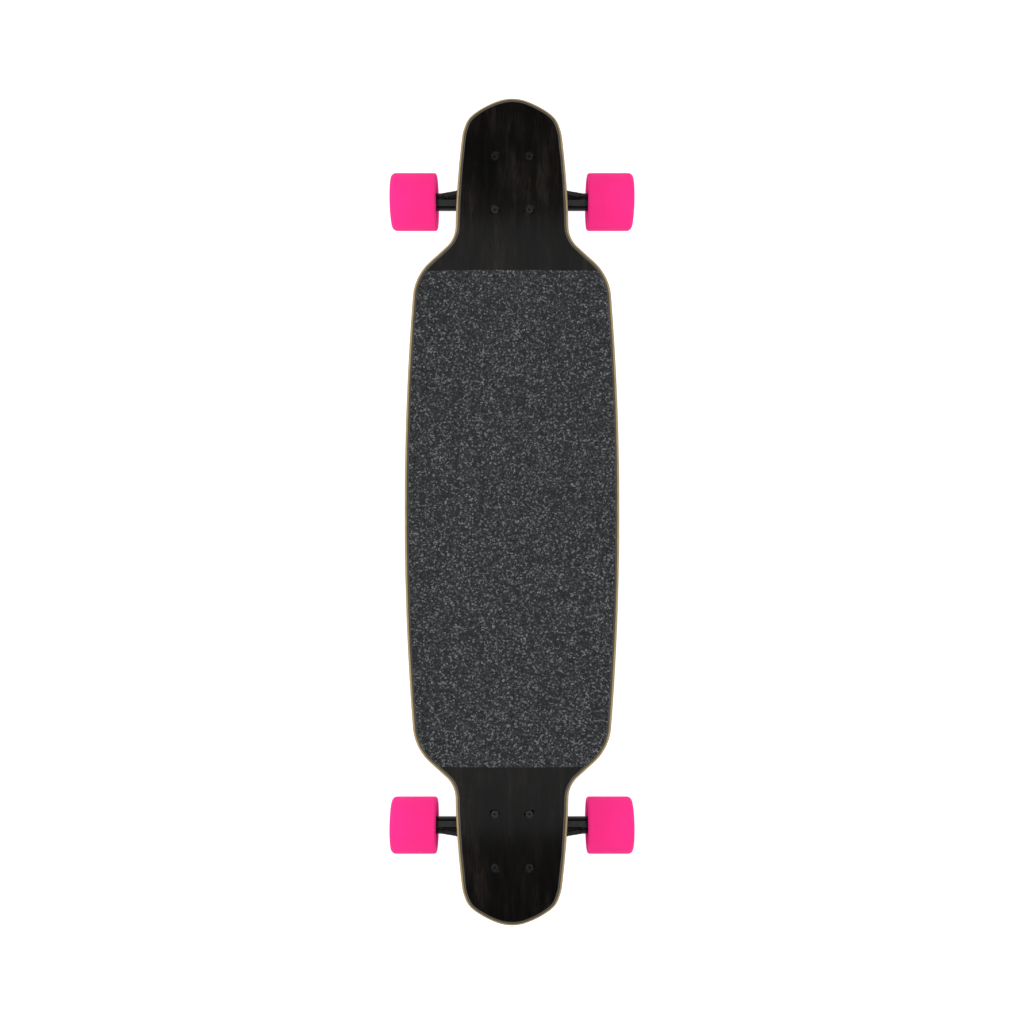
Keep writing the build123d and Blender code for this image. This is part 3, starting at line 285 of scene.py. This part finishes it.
def grip():
    """Mineral grit: pale and dark grains on black, each one standing up."""
    paint = Paint("grip", Roughness=0.86, Specular_IOR_Level=0.3)
    spot = paint.scaled(1, 1, 1)
    grains = paint.voronoi(spot, 620, "Distance")
    tone = paint.add("ShaderNodeSeparateColor")
    paint.join(paint.voronoi(spot, 620, "Color"), tone.inputs["Color"])
    colour = paint.ramp(
        tone.outputs[0],
        (0.00, (0.002, 0.0023, 0.0026)),
        (0.50, (0.0125, 0.0135, 0.0147)),
        (0.80, (0.045, 0.048, 0.052)),
        (1.00, (0.160, 0.168, 0.176)),
    )
    clumps = paint.noise(spot, 210, 3)
    colour = paint.mix(paint.span(clumps, 0.35, 0.62, 0.5, 0), colour, (0.015, 0.016, 0.017))
    paint.colour(colour)
    paint.bump(grains, 0.5 * MM, 0.8)
    paint.bump(paint.noise(spot, 1500, 2), 0.15 * MM, 0.7)
    return paint.material


def urethane(name, colour, deep):
    """Poured urethane: even colour, a little light inside, fine moulding haze."""
    paint = Paint(
        name, Specular_IOR_Level=0.015, Subsurface_Weight=0.12, Subsurface_Scale=0.004,
        Subsurface_Radius=(1.0, 0.25, 0.45),
    )
    cloud = paint.noise(paint.scaled(1, 1, 1), 45, 3)
    paint.colour(paint.mix(paint.span(cloud, 0.35, 0.7, 0, 0.35), colour, deep))
    paint.rough(paint.span(paint.noise(paint.scaled(1, 1, 1), 160, 4), 0.3, 0.7, 0.46, 0.62))
    paint.bump(paint.noise(paint.scaled(1, 1, 1), 900, 3), 0.03 * MM, 0.6)
    return paint.material


def coated_metal(name, colour, roughness, grain=0.06, shine=0.3):
    """Powder coat: orange-peel relief and slightly uneven gloss."""
    paint = Paint(name, Specular_IOR_Level=shine)
    spot = paint.scaled(1, 1, 1)
    worn = tuple(c * 1.7 for c in colour)
    paint.colour(paint.mix(paint.span(paint.noise(spot, 60, 4), 0.3, 0.75, 0, 0.6), colour, worn))
    paint.rough(paint.span(paint.noise(spot, 240, 4), 0.3, 0.7, roughness - 0.07, roughness + 0.08))
    paint.bump(paint.noise(spot, 1300, 3), grain * MM, 0.7)
    return paint.material


def bare_metal(name, colour, roughness, across=(1, 1, 1)):
    """Machined or plated metal with fine turning marks."""
    paint = Paint(name, Metallic=1.0)
    lines = paint.noise(paint.scaled(*across), 900, 3)
    spots = paint.noise(paint.scaled(1, 1, 1), 80, 4)
    dull = tuple(c * 0.72 for c in colour)
    paint.colour(paint.mix(paint.span(spots, 0.3, 0.75, 0, 0.5), colour, dull))
    paint.rough(paint.span(lines, 0.3, 0.7, roughness - 0.08, roughness + 0.1))
    paint.bump(lines, 0.02 * MM, 0.5)
    return paint.material


def moulded(name, colour, roughness, texture=1400, height=0.05):
    """Injection-moulded plastic or rubber with a fine spark-eroded texture."""
    paint = Paint(name, Specular_IOR_Level=0.4)
    spot = paint.scaled(1, 1, 1)
    pale = tuple(c * 1.5 for c in colour)
    paint.colour(paint.mix(paint.span(paint.noise(spot, 35, 4), 0.3, 0.7, 0, 0.5), colour, pale))
    paint.rough(paint.span(paint.noise(spot, 300, 3), 0.3, 0.7, roughness - 0.06, roughness + 0.08))
    paint.bump(paint.noise(spot, texture, 3), height * MM, 0.7)
    return paint.material


def circuit_board():
    """Green solder mask with copper runs and pale pads."""
    paint = Paint("circuit_board", Specular_IOR_Level=0.5)
    runs = paint.add("ShaderNodeTexBrick", Scale=260, offset=0.5)
    paint.join(paint.scaled(1, 1, 1), runs.inputs["Vector"])
    tones = {"Color1": (0.01, 0.11, 0.04), "Color2": (0.008, 0.085, 0.03), "Mortar": (0.03, 0.2, 0.07)}
    for socket, colour in tones.items():
        runs.inputs[socket].default_value = (*colour, 1)
    paint.colour(runs.outputs["Color"])
    paint.rough(paint.span(paint.noise(paint.scaled(1, 1, 1), 400), 0.3, 0.7, 0.3, 0.5))
    return paint.material


def lamination():
    """Stacked electrical steel: fine lines across the motor's axis."""
    paint = Paint("lamination", Metallic=1.0)
    wave = paint.add("ShaderNodeTexWave", Scale=320, Distortion=0.4)
    paint.join(paint.scaled(1, 0, 0), wave.inputs["Vector"])
    paint.colour(paint.mix(wave.outputs["Fac"], (0.08, 0.08, 0.085), (0.3, 0.3, 0.31)))
    paint.rough(paint.span(wave.outputs["Fac"], 0, 1, 0.55, 0.35))
    return paint.material


PINK = (1.0, 0.034, 0.256)
DEEP_PINK = (0.99, 0.031, 0.247)
PAINTS = {
    "maple": stained_maple(),
    "grip": grip(),
    "black_rubber": moulded("black_rubber", (0.010, 0.010, 0.010), 0.62, 700, 0.06),
    "black_steel": coated_metal("black_steel", (0.006, 0.006, 0.0062), 0.22, 0.02, 0.16),
    "steel": bare_metal("zinc_steel", (0.56, 0.56, 0.58), 0.3),
    "truck_black": coated_metal("truck_black", (0.0014, 0.0014, 0.0015), 0.22, 0.012, 0.12),
    "bushing_urethane": urethane("bushing_black", (0.014, 0.014, 0.015), (0.02, 0.02, 0.021)),
    "tub_plastic": moulded("tub_plastic", (0.011, 0.011, 0.0115), 0.5, 1100, 0.08),
    "brass": bare_metal("brass", (0.72, 0.5, 0.2), 0.3),
    "cell_wrap": moulded("cell_wrap", (0.02, 0.19, 0.16), 0.28, 200, 0.02),
    "nickel": bare_metal("nickel", (0.62, 0.6, 0.56), 0.26),
    "circuit_board": circuit_board(),
    "capacitor_can": moulded("capacitor_sleeve", (0.012, 0.014, 0.04), 0.3, 300, 0.02),
    "bare_aluminium": coated_metal("anodised_black", (0.011, 0.011, 0.012), 0.42, 0.02),
    "black_plastic": moulded("black_plastic", (0.009, 0.009, 0.0095), 0.44),
    "lamination": lamination(),
    "copper": bare_metal("copper_wire", (0.78, 0.33, 0.16), 0.3, (3, 60, 60)),
    "pink_urethane": urethane("pink_urethane", PINK, DEEP_PINK),
    "core_nylon": moulded("core_nylon", (0.012, 0.012, 0.0125), 0.4),
    "bearing_shield": coated_metal("bearing_shield", (0.012, 0.012, 0.013), 0.4, 0.02),
    "motor_black": coated_metal("motor_black", (0.010, 0.010, 0.011), 0.33, 0.02),
}


# ---- Mesh tools --------------------------------------------------------------------------------
def wear(piece, slot):
    """Gives a piece the finish of one of the record's material slots."""
    piece.data.materials.clear()
    piece.data.materials.append(PAINTS[slot])


def make_piece(name, points, faces, slot):
    mesh = bpy.data.meshes.new(name)
    mesh.from_pydata([tuple(p) for p in points], [], faces)
    mesh.validate()
    piece = bpy.data.objects.new(name, mesh)
    bpy.context.collection.objects.link(piece)
    mesh.shade_smooth()
    wear(piece, slot)
    return piece


def rounded(corners, steps=5):
    """A line through corners (along, radius, rounding), in millimetres, with its corners rounded."""
    points = []
    last = len(corners) - 1
    for index, (along, radius, rounding) in enumerate(corners):
        here = Vector((along, radius))
        if rounding == 0 or index in (0, last):
            points.append(here)
            continue
        back = (Vector(corners[index - 1][:2]) - here).normalized()
        ahead = (Vector(corners[index + 1][:2]) - here).normalized()
        half = back.angle(ahead) / 2
        reach = rounding / math.tan(half)
        centre = here + (back + ahead).normalized() * rounding / math.sin(half)
        start = (here + back * reach - centre).normalized()
        end = (here + ahead * reach - centre).normalized()
        for step in range(steps + 1):
            points.append(centre + start.slerp(end, step / steps).normalized() * rounding)
    return points


def lathe(name, corners, origin, axis, slot, segments):
    """A turned piece: a rounded line spun about an axis from an origin."""
    line = rounded(corners)
    axis = Vector(axis).normalized()
    side = axis.orthogonal().normalized()
    across = axis.cross(side)
    points, faces = [], []
    for segment in range(segments):
        angle = 2 * math.pi * segment / segments
        spoke = side * math.cos(angle) + across * math.sin(angle)
        points += [origin + (axis * p.x + spoke * p.y) * MM for p in line]
    count = len(line)
    for segment in range(segments):
        here, there = segment * count, (segment + 1) % segments * count
        for k in range(count):
            following = (k + 1) % count
            faces.append((here + k, here + following, there + following, there + k))
    piece = make_piece(name, points, faces, slot)
    fix_normals(piece)
    return piece


def fix_normals(piece):
    """Welds the mesh and turns its faces outwards."""
    cage = bmesh.new()
    cage.from_mesh(piece.data)
    bmesh.ops.remove_doubles(cage, verts=cage.verts, dist=1e-6)
    bmesh.ops.dissolve_degenerate(cage, edges=cage.edges, dist=1e-7)
    bmesh.ops.recalc_face_normals(cage, faces=cage.faces)
    cage.to_mesh(piece.data)
    cage.free()
    piece.data.shade_smooth()


def bake_modifiers(piece):
    """Replaces the mesh by what its modifiers make of it."""
    depsgraph = bpy.context.evaluated_depsgraph_get()
    final = bpy.data.meshes.new_from_object(piece.evaluated_get(depsgraph))
    piece.modifiers.clear()
    piece.data = final


def casting(name, node, voxel, passes, slot):
    """A cast version of a CAD node: the same shape with its corners melted into fillets."""
    piece = bpy.data.objects.new(name, NODES[node].data.copy())
    bpy.context.collection.objects.link(piece)
    piece.data.materials.clear()
    weld = piece.modifiers.new("weld", "WELD")
    weld.merge_threshold = 1e-6
    remesh = piece.modifiers.new("remesh", "REMESH")
    remesh.mode = "VOXEL"
    remesh.voxel_size = voxel
    smooth = piece.modifiers.new("smooth", "SMOOTH")
    smooth.factor = 0.5
    smooth.iterations = passes
    bake_modifiers(piece)
    piece.data.shade_smooth()
    wear(piece, slot)
    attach(piece, BODY_OF[node])
    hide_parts(node)


# ---- Deck --------------------------------------------------------------------------------------
EDGE_STEPS = 8
EDGE_RINGS_MM = (4.4, 5.4, 7.0)
ACROSS = 36
ROW_LENGTH = 2.2 * MM
BOLT_FIELD = (0.03, 0.44)      # half the width and length that hold every bolt hole
FIELD_INSET = 0.02             # marks the stained field, well in from the edge
SAME_PLACE = 1.2 * MM
BOLT_GROUP = 60 * MM           # longer than a bolt is wide, shorter than the rows are apart
HOLE_SIDES = 40
HOLE_RINGS_MM = ((5.6, 1.0), (4.6, 0.0), (2.6, -2.0), (2.6, -12.0))  # radius, height above the top


def right_outline():
    """Closely spaced points along the right side of the frame's own deck, from nose to tail."""
    found = []
    for vert in NODES["deck"].data.vertices:
        x, y, z = vert.co
        depth = z - DECK_BOTTOM - rise(x, CONCAVE_RADIUS)
        upright = EDGE_RADIUS - 0.1 * MM < depth < DECK_THICKNESS - EDGE_RADIUS + 0.1 * MM
        if upright and x > -1e-6 and not (x < BOLT_FIELD[0] and abs(y) < BOLT_FIELD[1]):
            found.append(Vector((x, y)))
    found.sort(key=lambda p: -math.atan2(p.y, p.x))
    line = [Vector((0, found[0].y))]
    for place in found:
        if (place - line[-1]).length > SAME_PLACE:
            line.append(place)
    line[-1] = Vector((0, found[-1].y))
    smooth = []
    for k in range(len(line) - 1):
        before = line[k - 1] if k else Vector((-line[1].x, line[1].y))
        after = line[k + 2] if k + 2 < len(line) else Vector((-line[-2].x, line[-2].y))
        p, q = line[k], line[k + 1]
        pieces = max(1, int((q - p).length / ROW_LENGTH))
        tangent_p = (q - before).normalized() * (q - p).length
        tangent_q = (after - p).normalized() * (q - p).length
        for step in range(pieces):
            t = step / pieces
            smooth.append(
                p * (2 * t**3 - 3 * t**2 + 1) + tangent_p * (t**3 - 2 * t**2 + t)
                + q * (3 * t**2 - 2 * t**3) + tangent_q * (t**3 - t**2)
            )
    smooth.append(line[-1])
    return smooth


def rise(x, radius):
    """How far the concave lifts a surface at a distance from the centre line."""
    out = max(0.0, abs(x) - CONCAVE_FLAT)
    return radius - math.sqrt(radius**2 - out**2)


def deck_surface(x, depth):
    """Height of the deck at x, at a depth below its top."""
    share = depth / DECK_THICKNESS
    top = DECK_TOP + rise(x, CONCAVE_RADIUS - DECK_THICKNESS)
    bottom = DECK_BOTTOM + rise(x, CONCAVE_RADIUS)
    return top + (bottom - top) * share


def edge_stations():
    """(inset, depth) round the deck's edge, from the top surface to the underside."""
    top = [(ring * MM, 0.0) for ring in reversed(EDGE_RINGS_MM)]
    for step in range(EDGE_STEPS + 1):
        angle = math.pi / 2 * step / EDGE_STEPS
        top.append((EDGE_RADIUS * (1 - math.sin(angle)), EDGE_RADIUS * (1 - math.cos(angle))))
    return top + [(inset, DECK_THICKNESS - depth) for inset, depth in reversed(top)]


def make_deck():
    outline = right_outline()
    stations = edge_stations()
    points, insets, depths = [], [], []
    lowest = outline[0].y
    for k, here in enumerate(outline):
        before = outline[k - 1] if k else Vector((-outline[1].x, outline[1].y))
        after = outline[k + 1] if k + 1 < len(outline) else Vector((-outline[-2].x, outline[-2].y))
        along = (after - before).normalized()
        inward = Vector((along.y, -along.x))
        right = [(here + inward * inset, inset, depth) for inset, depth in stations]
        left = [(Vector((-p.x, p.y)), inset, depth) for p, inset, depth in reversed(right)]
        lowest = min(lowest, right[0][0].y)
        reach = max(0.0, right[0][0].x)
        bottom = [
            (Vector((reach * (1 - 2 * step / ACROSS), lowest)), FIELD_INSET, DECK_THICKNESS)
            for step in range(1, ACROSS)
        ]
        top = [
            (Vector((reach * (2 * step / ACROSS - 1), lowest)), FIELD_INSET, 0.0)
            for step in range(1, ACROSS)
        ]
        for place, inset, depth in right + bottom + left + top:
            points.append((place.x, place.y, deck_surface(place.x, depth)))
            insets.append(inset)
            depths.append(depth)
    count = len(points) // len(outline)
    faces = []
    for row in range(len(outline) - 1):
        for k in range(count):
            following = (k + 1) % count
            faces.append((
                row * count + k, row * count + following,
                (row + 1) * count + following, (row + 1) * count + k,
            ))
    deck = make_piece("deck_panel", points, faces, "maple")
    for name, values in (("inset", insets), ("depth", depths)):
        deck.data.attributes.new(name, "FLOAT", "POINT").data.foreach_set("value", values)
    fix_normals(deck)
    bore_bolt_holes(deck)
    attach(deck, "root")
    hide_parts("deck")


def bolt_centres():
    """Middle of each truck bolt, from the frame."""
    cage = bmesh.new()
    cage.from_mesh(NODES["truck_bolts"].data)
    corners = {}
    for vert in cage.verts:
        key = (vert.co.x > 0, round(vert.co.y / BOLT_GROUP))
        corners.setdefault(key, []).append(vert.co.copy())
    cage.free()
    return [sum(group, Vector()) / len(group) for group in corners.values()]


def bore_bolt_holes(deck):
    """Countersunk holes for the truck bolts."""
    cutter = bmesh.new()
    for centre in bolt_centres():
        rings = []
        for radius, height in HOLE_RINGS_MM:
            rings.append([
                cutter.verts.new((
                    centre.x + radius * MM * math.cos(math.tau * k / HOLE_SIDES),
                    centre.y + radius * MM * math.sin(math.tau * k / HOLE_SIDES),
                    DECK_TOP + height * MM,
                ))
                for k in range(HOLE_SIDES)
            ])
        cutter.faces.new(rings[0])
        cutter.faces.new(reversed(rings[-1]))
        for upper, lower in zip(rings, rings[1:]):
            for k in range(HOLE_SIDES):
                cutter.faces.new((upper[k], upper[k - 1], lower[k - 1], lower[k]))
    bmesh.ops.recalc_face_normals(cutter, faces=cutter.faces)
    mesh = bpy.data.meshes.new("cutter")
    cutter.to_mesh(mesh)
    cutter.free()
    tool = bpy.data.objects.new("cutter", mesh)
    bpy.context.collection.objects.link(tool)
    cut = deck.modifiers.new("holes", "BOOLEAN")
    cut.operation = "DIFFERENCE"
    cut.solver = "EXACT"
    cut.object = tool
    bake_modifiers(deck)
    bpy.data.objects.remove(tool)
    inset = deck.data.attributes["inset"].data
    for vert, row in zip(deck.data.vertices, inset):
        if abs(vert.co.x) < BOLT_FIELD[0] and abs(vert.co.y) < BOLT_FIELD[1]:
            row.value = FIELD_INSET
    wear(deck, "maple")


# ---- Wheels ------------------------------------------------------------------------------------
# Tyre sections: (distance outboard of the middle, radius, rounding), millimetres.
TYRE_SEGMENTS = 160
FRONT_TYRE = (
    (-21.0, 22.0, 0), (-21.8, 22.6, 0), (-27.0, 26.2, 2.5), (-29.0, 29.2, 1.6), (-29.0, 35.5, 3.4),
    (29.0, 35.5, 6.2), (29.0, 28.0, 2.2), (26.0, 25.6, 2.5), (20.8, 22.6, 0), (20.0, 22.0, 0),
)
REAR_TYRE = (
    (-17.0, 27.5, 0), (-20.0, 27.9, 0), (-26.5, 28.6, 2.0), (-29.0, 30.2, 1.2), (-29.0, 35.5, 3.4),
    (29.0, 35.5, 6.2), (29.0, 29.0, 1.0), (26.5, 28.2, 1.5), (20.6, 27.7, 0), (20.0, 27.5, 0),
)


def make_tyres():
    for wheel in WHEELS:
        node = f"{wheel}_tyre"
        low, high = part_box(node)
        outward = (1, 0, 0) if high.x > 0 else (-1, 0, 0)
        corners = FRONT_TYRE if wheel.startswith("front") else REAR_TYRE
        middle = (low + high) / 2
        tyre = lathe(f"{wheel}_urethane", corners, middle, outward, "pink_urethane", TYRE_SEGMENTS)
        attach(tyre, BODY_OF[node])
        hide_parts(node)


# ---- Trucks ------------------------------------------------------------------------------------
def truck_axes(end):
    """Steering axis and kingpin direction of a truck, and a point on the steering axis."""
    joint = next(row for row in frame["joints"] if row["name"] == f"{end}_steer")
    axis = Vector(joint["axis"]).normalized()
    outboard = 1 if joint["pos_m"][1] > 0 else -1
    kingpin = Vector((0, outboard * axis.z, -abs(axis.y)))
    return axis, kingpin, Vector(joint["pos_m"])


CAST_VOXEL = 0.75 * MM
PIVOT_REACH = 54.0 * MM        # from the pivot's centre to the hanger's ring
BUSHING_BORE = 4.9
BUSHING_SEGMENTS = 64
BOARDSIDE = (-18.5, -4.0)      # where each bushing starts and ends along the kingpin, millimetres
ROADSIDE = (4.0, 17.0)
BOARDSIDE_BUSHING = (
    (BOARDSIDE[0], BUSHING_BORE, 0), (BOARDSIDE[0], 13.0, 1.2), (-15.0, 13.5, 2.0),
    (-7.5, 13.5, 2.0), (BOARDSIDE[1], 13.0, 1.2), (BOARDSIDE[1], BUSHING_BORE, 0),
)
ROADSIDE_BUSHING = (
    (ROADSIDE[0], BUSHING_BORE, 0), (ROADSIDE[0], 13.0, 1.2), (7.5, 13.0, 1.5),
    (ROADSIDE[1], 10.4, 1.4), (ROADSIDE[1], BUSHING_BORE, 0),
)


def make_bushings():
    for end in TRUCKS:
        axis, kingpin, pivot = truck_axes(end)
        ring = pivot + axis * PIVOT_REACH
        shapes = (
            ("boardside", BOARDSIDE_BUSHING, BOARDSIDE[0], BOARDSIDE[1]),
            ("roadside", ROADSIDE_BUSHING, ROADSIDE[1], ROADSIDE[0]),
        )
        for side, corners, fixed, moving in shapes:
            name = f"{end}_{side}_bushing"
            bushing = lathe(name, corners, ring, kingpin, "bushing_urethane", BUSHING_SEGMENTS)
            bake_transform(bushing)
            if side == "boardside":
                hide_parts(f"{end}_bushings")


def make_castings():
    for end in TRUCKS:
        casting(f"{end}_hanger_casting", f"{end}_hanger", CAST_VOXEL, 9, "truck_black")
        casting(f"{end}_baseplate_casting", f"{end}_baseplate", CAST_VOXEL, 6, "truck_black")


# ---- Motor cables ------------------------------------------------------------------------------
CABLE_RADIUS = 3.0 * MM
CABLE_STEPS = 12
BOOT_SEGMENTS = 40
CABLE_ROUTE = (                # right cable, millimetres, from its gland to the hanger
    (45, -274, 97), (45.5, -294, 96), (48, -318, 85), (53, -340, 65), (57, -360, 46), (58, -383.9, 36),
)


def route_line(points, samples):
    """The smooth line of a route: a NURBS spline with the route's points as its control points."""
    data = bpy.data.curves.new("route", "CURVE")
    data.dimensions = "3D"
    data.resolution_u = samples
    spline = data.splines.new("NURBS")
    spline.points.add(len(points) - 1)
    for point, place in zip(spline.points, points):
        point.co = (*place, 1)
    spline.order_u = 3
    spline.use_endpoint_u = True
    holder = bpy.data.objects.new("route", data)
    bpy.context.collection.objects.link(holder)
    line = bpy.data.meshes.new_from_object(holder)
    places = [vert.co.copy() for vert in line.vertices]
    bpy.data.objects.remove(holder)
    return places


def tube(name, line, radius, slot, sides=20):
    points, faces = [], []
    across = Vector((1, 0, 0))
    for k, place in enumerate(line):
        along = (line[min(k + 1, len(line) - 1)] - line[max(k - 1, 0)]).normalized()
        across = (across - along * across.dot(along)).normalized()
        up = along.cross(across)
        for side in range(sides):
            angle = math.tau * side / sides
            points.append(place + (across * math.cos(angle) + up * math.sin(angle)) * radius)
    for k in range(len(line) - 1):
        for side in range(sides):
            beside = (side + 1) % sides
            here, ahead = k * sides, (k + 1) * sides
            faces.append((here + side, here + beside, ahead + beside, ahead + side))
    faces.append(tuple(range(sides)))
    faces.append(tuple((len(line) - 1) * sides + side for side in reversed(range(sides))))
    piece = make_piece(name, points, faces, slot)
    fix_normals(piece)
    return piece


BOOT = (                       # section of the rubber boot where a cable enters the hanger
    (-9.0, 3.0, 0), (-9.0, 4.0, 0.6), (-4.0, 4.6, 0), (-3.0, 6.4, 0.8), (1.5, 7.0, 0.8), (1.5, 0.4, 0),
)


def make_cables():
    for sign, side in ((-1, "left"), (1, "right")):
        route = [Vector((sign * x, y, z)) * MM for x, y, z in CABLE_ROUTE]
        line = route_line(route, CABLE_STEPS)
        cable = tube(f"{side}_phase_cable", line, CABLE_RADIUS, "black_rubber")
        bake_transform(cable)
        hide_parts(f"{side}_motor_cable")
        into = (route[-1] - route[-2]).normalized()
        boot = lathe(f"{side}_cable_boot", BOOT, route[-1], into, "black_rubber", BOOT_SEGMENTS)
        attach(boot, "rear_hanger")


# ---- CAD nodes that keep their shape -----------------------------------------------------------
BEVEL_ANGLE = math.radians(35)
BEVELS = {                     # widths, millimetres
    "front_left_core": 0.5, "front_right_core": 0.5, "enclosure": 0.5, "heat_sink": 0.3,
    "rear_left_rotor": 0.4, "rear_right_rotor": 0.4,
    "rear_left_motor_cover": 0.4, "rear_right_motor_cover": 0.4,
    "front_axle_nuts": 0.35, "rear_axle_nuts": 0.35, "kingpin_nuts": 0.4, "kingpins": 0.4,
    "truck_nuts": 0.3, "cup_washers": 0.3, "cable_glands": 0.4, "charge_socket": 0.3,
    "charge_port_cap": 0.4, "power_button_bezel": 0.2, "riser_pads": 0.4, "pivot_cups": 0.3,
    "truck_bolts": 0.12, "grip_tape": 0.3,
}


def dress_cad():
    for name, node in NODES.items():
        wear(node, SLOTS[name])
        if name in BEVELS and not node.hide_render:
            weld = node.modifiers.new("weld", "WELD")
            weld.merge_threshold = 1e-6
            bevel = node.modifiers.new("bevel", "BEVEL")
            bevel.width = BEVELS[name] * MM
            bevel.segments = 2
            bevel.limit_method = "ANGLE"
            bevel.angle_limit = BEVEL_ANGLE
            bevel.harden_normals = True


FLOOR_REACH = 12.0


def make_floor():
    """A pale floor that glows enough to burn out to white."""
    corners = [(x * FLOOR_REACH, y * FLOOR_REACH, 0) for x, y in ((-1, -1), (1, -1), (1, 1), (-1, 1))]
    mesh = bpy.data.meshes.new("floor")
    mesh.from_pydata(corners, [], [(0, 1, 2, 3)])
    floor = bpy.data.objects.new("floor", mesh)
    bpy.context.collection.objects.link(floor)
    paint = Paint("floor", Base_Color=(0.35, 0.35, 0.35, 1), Roughness=0.95, Emission_Strength=0.92)
    paint.shader.inputs["Specular IOR Level"].default_value = 0.0
    mesh.materials.append(paint.material)


bpy.context.scene.view_settings.view_transform = "Standard"
make_camera()
make_lights()
make_world()
make_floor()
make_deck()
make_tyres()
make_bushings()
make_castings()
make_cables()
dress_cad()
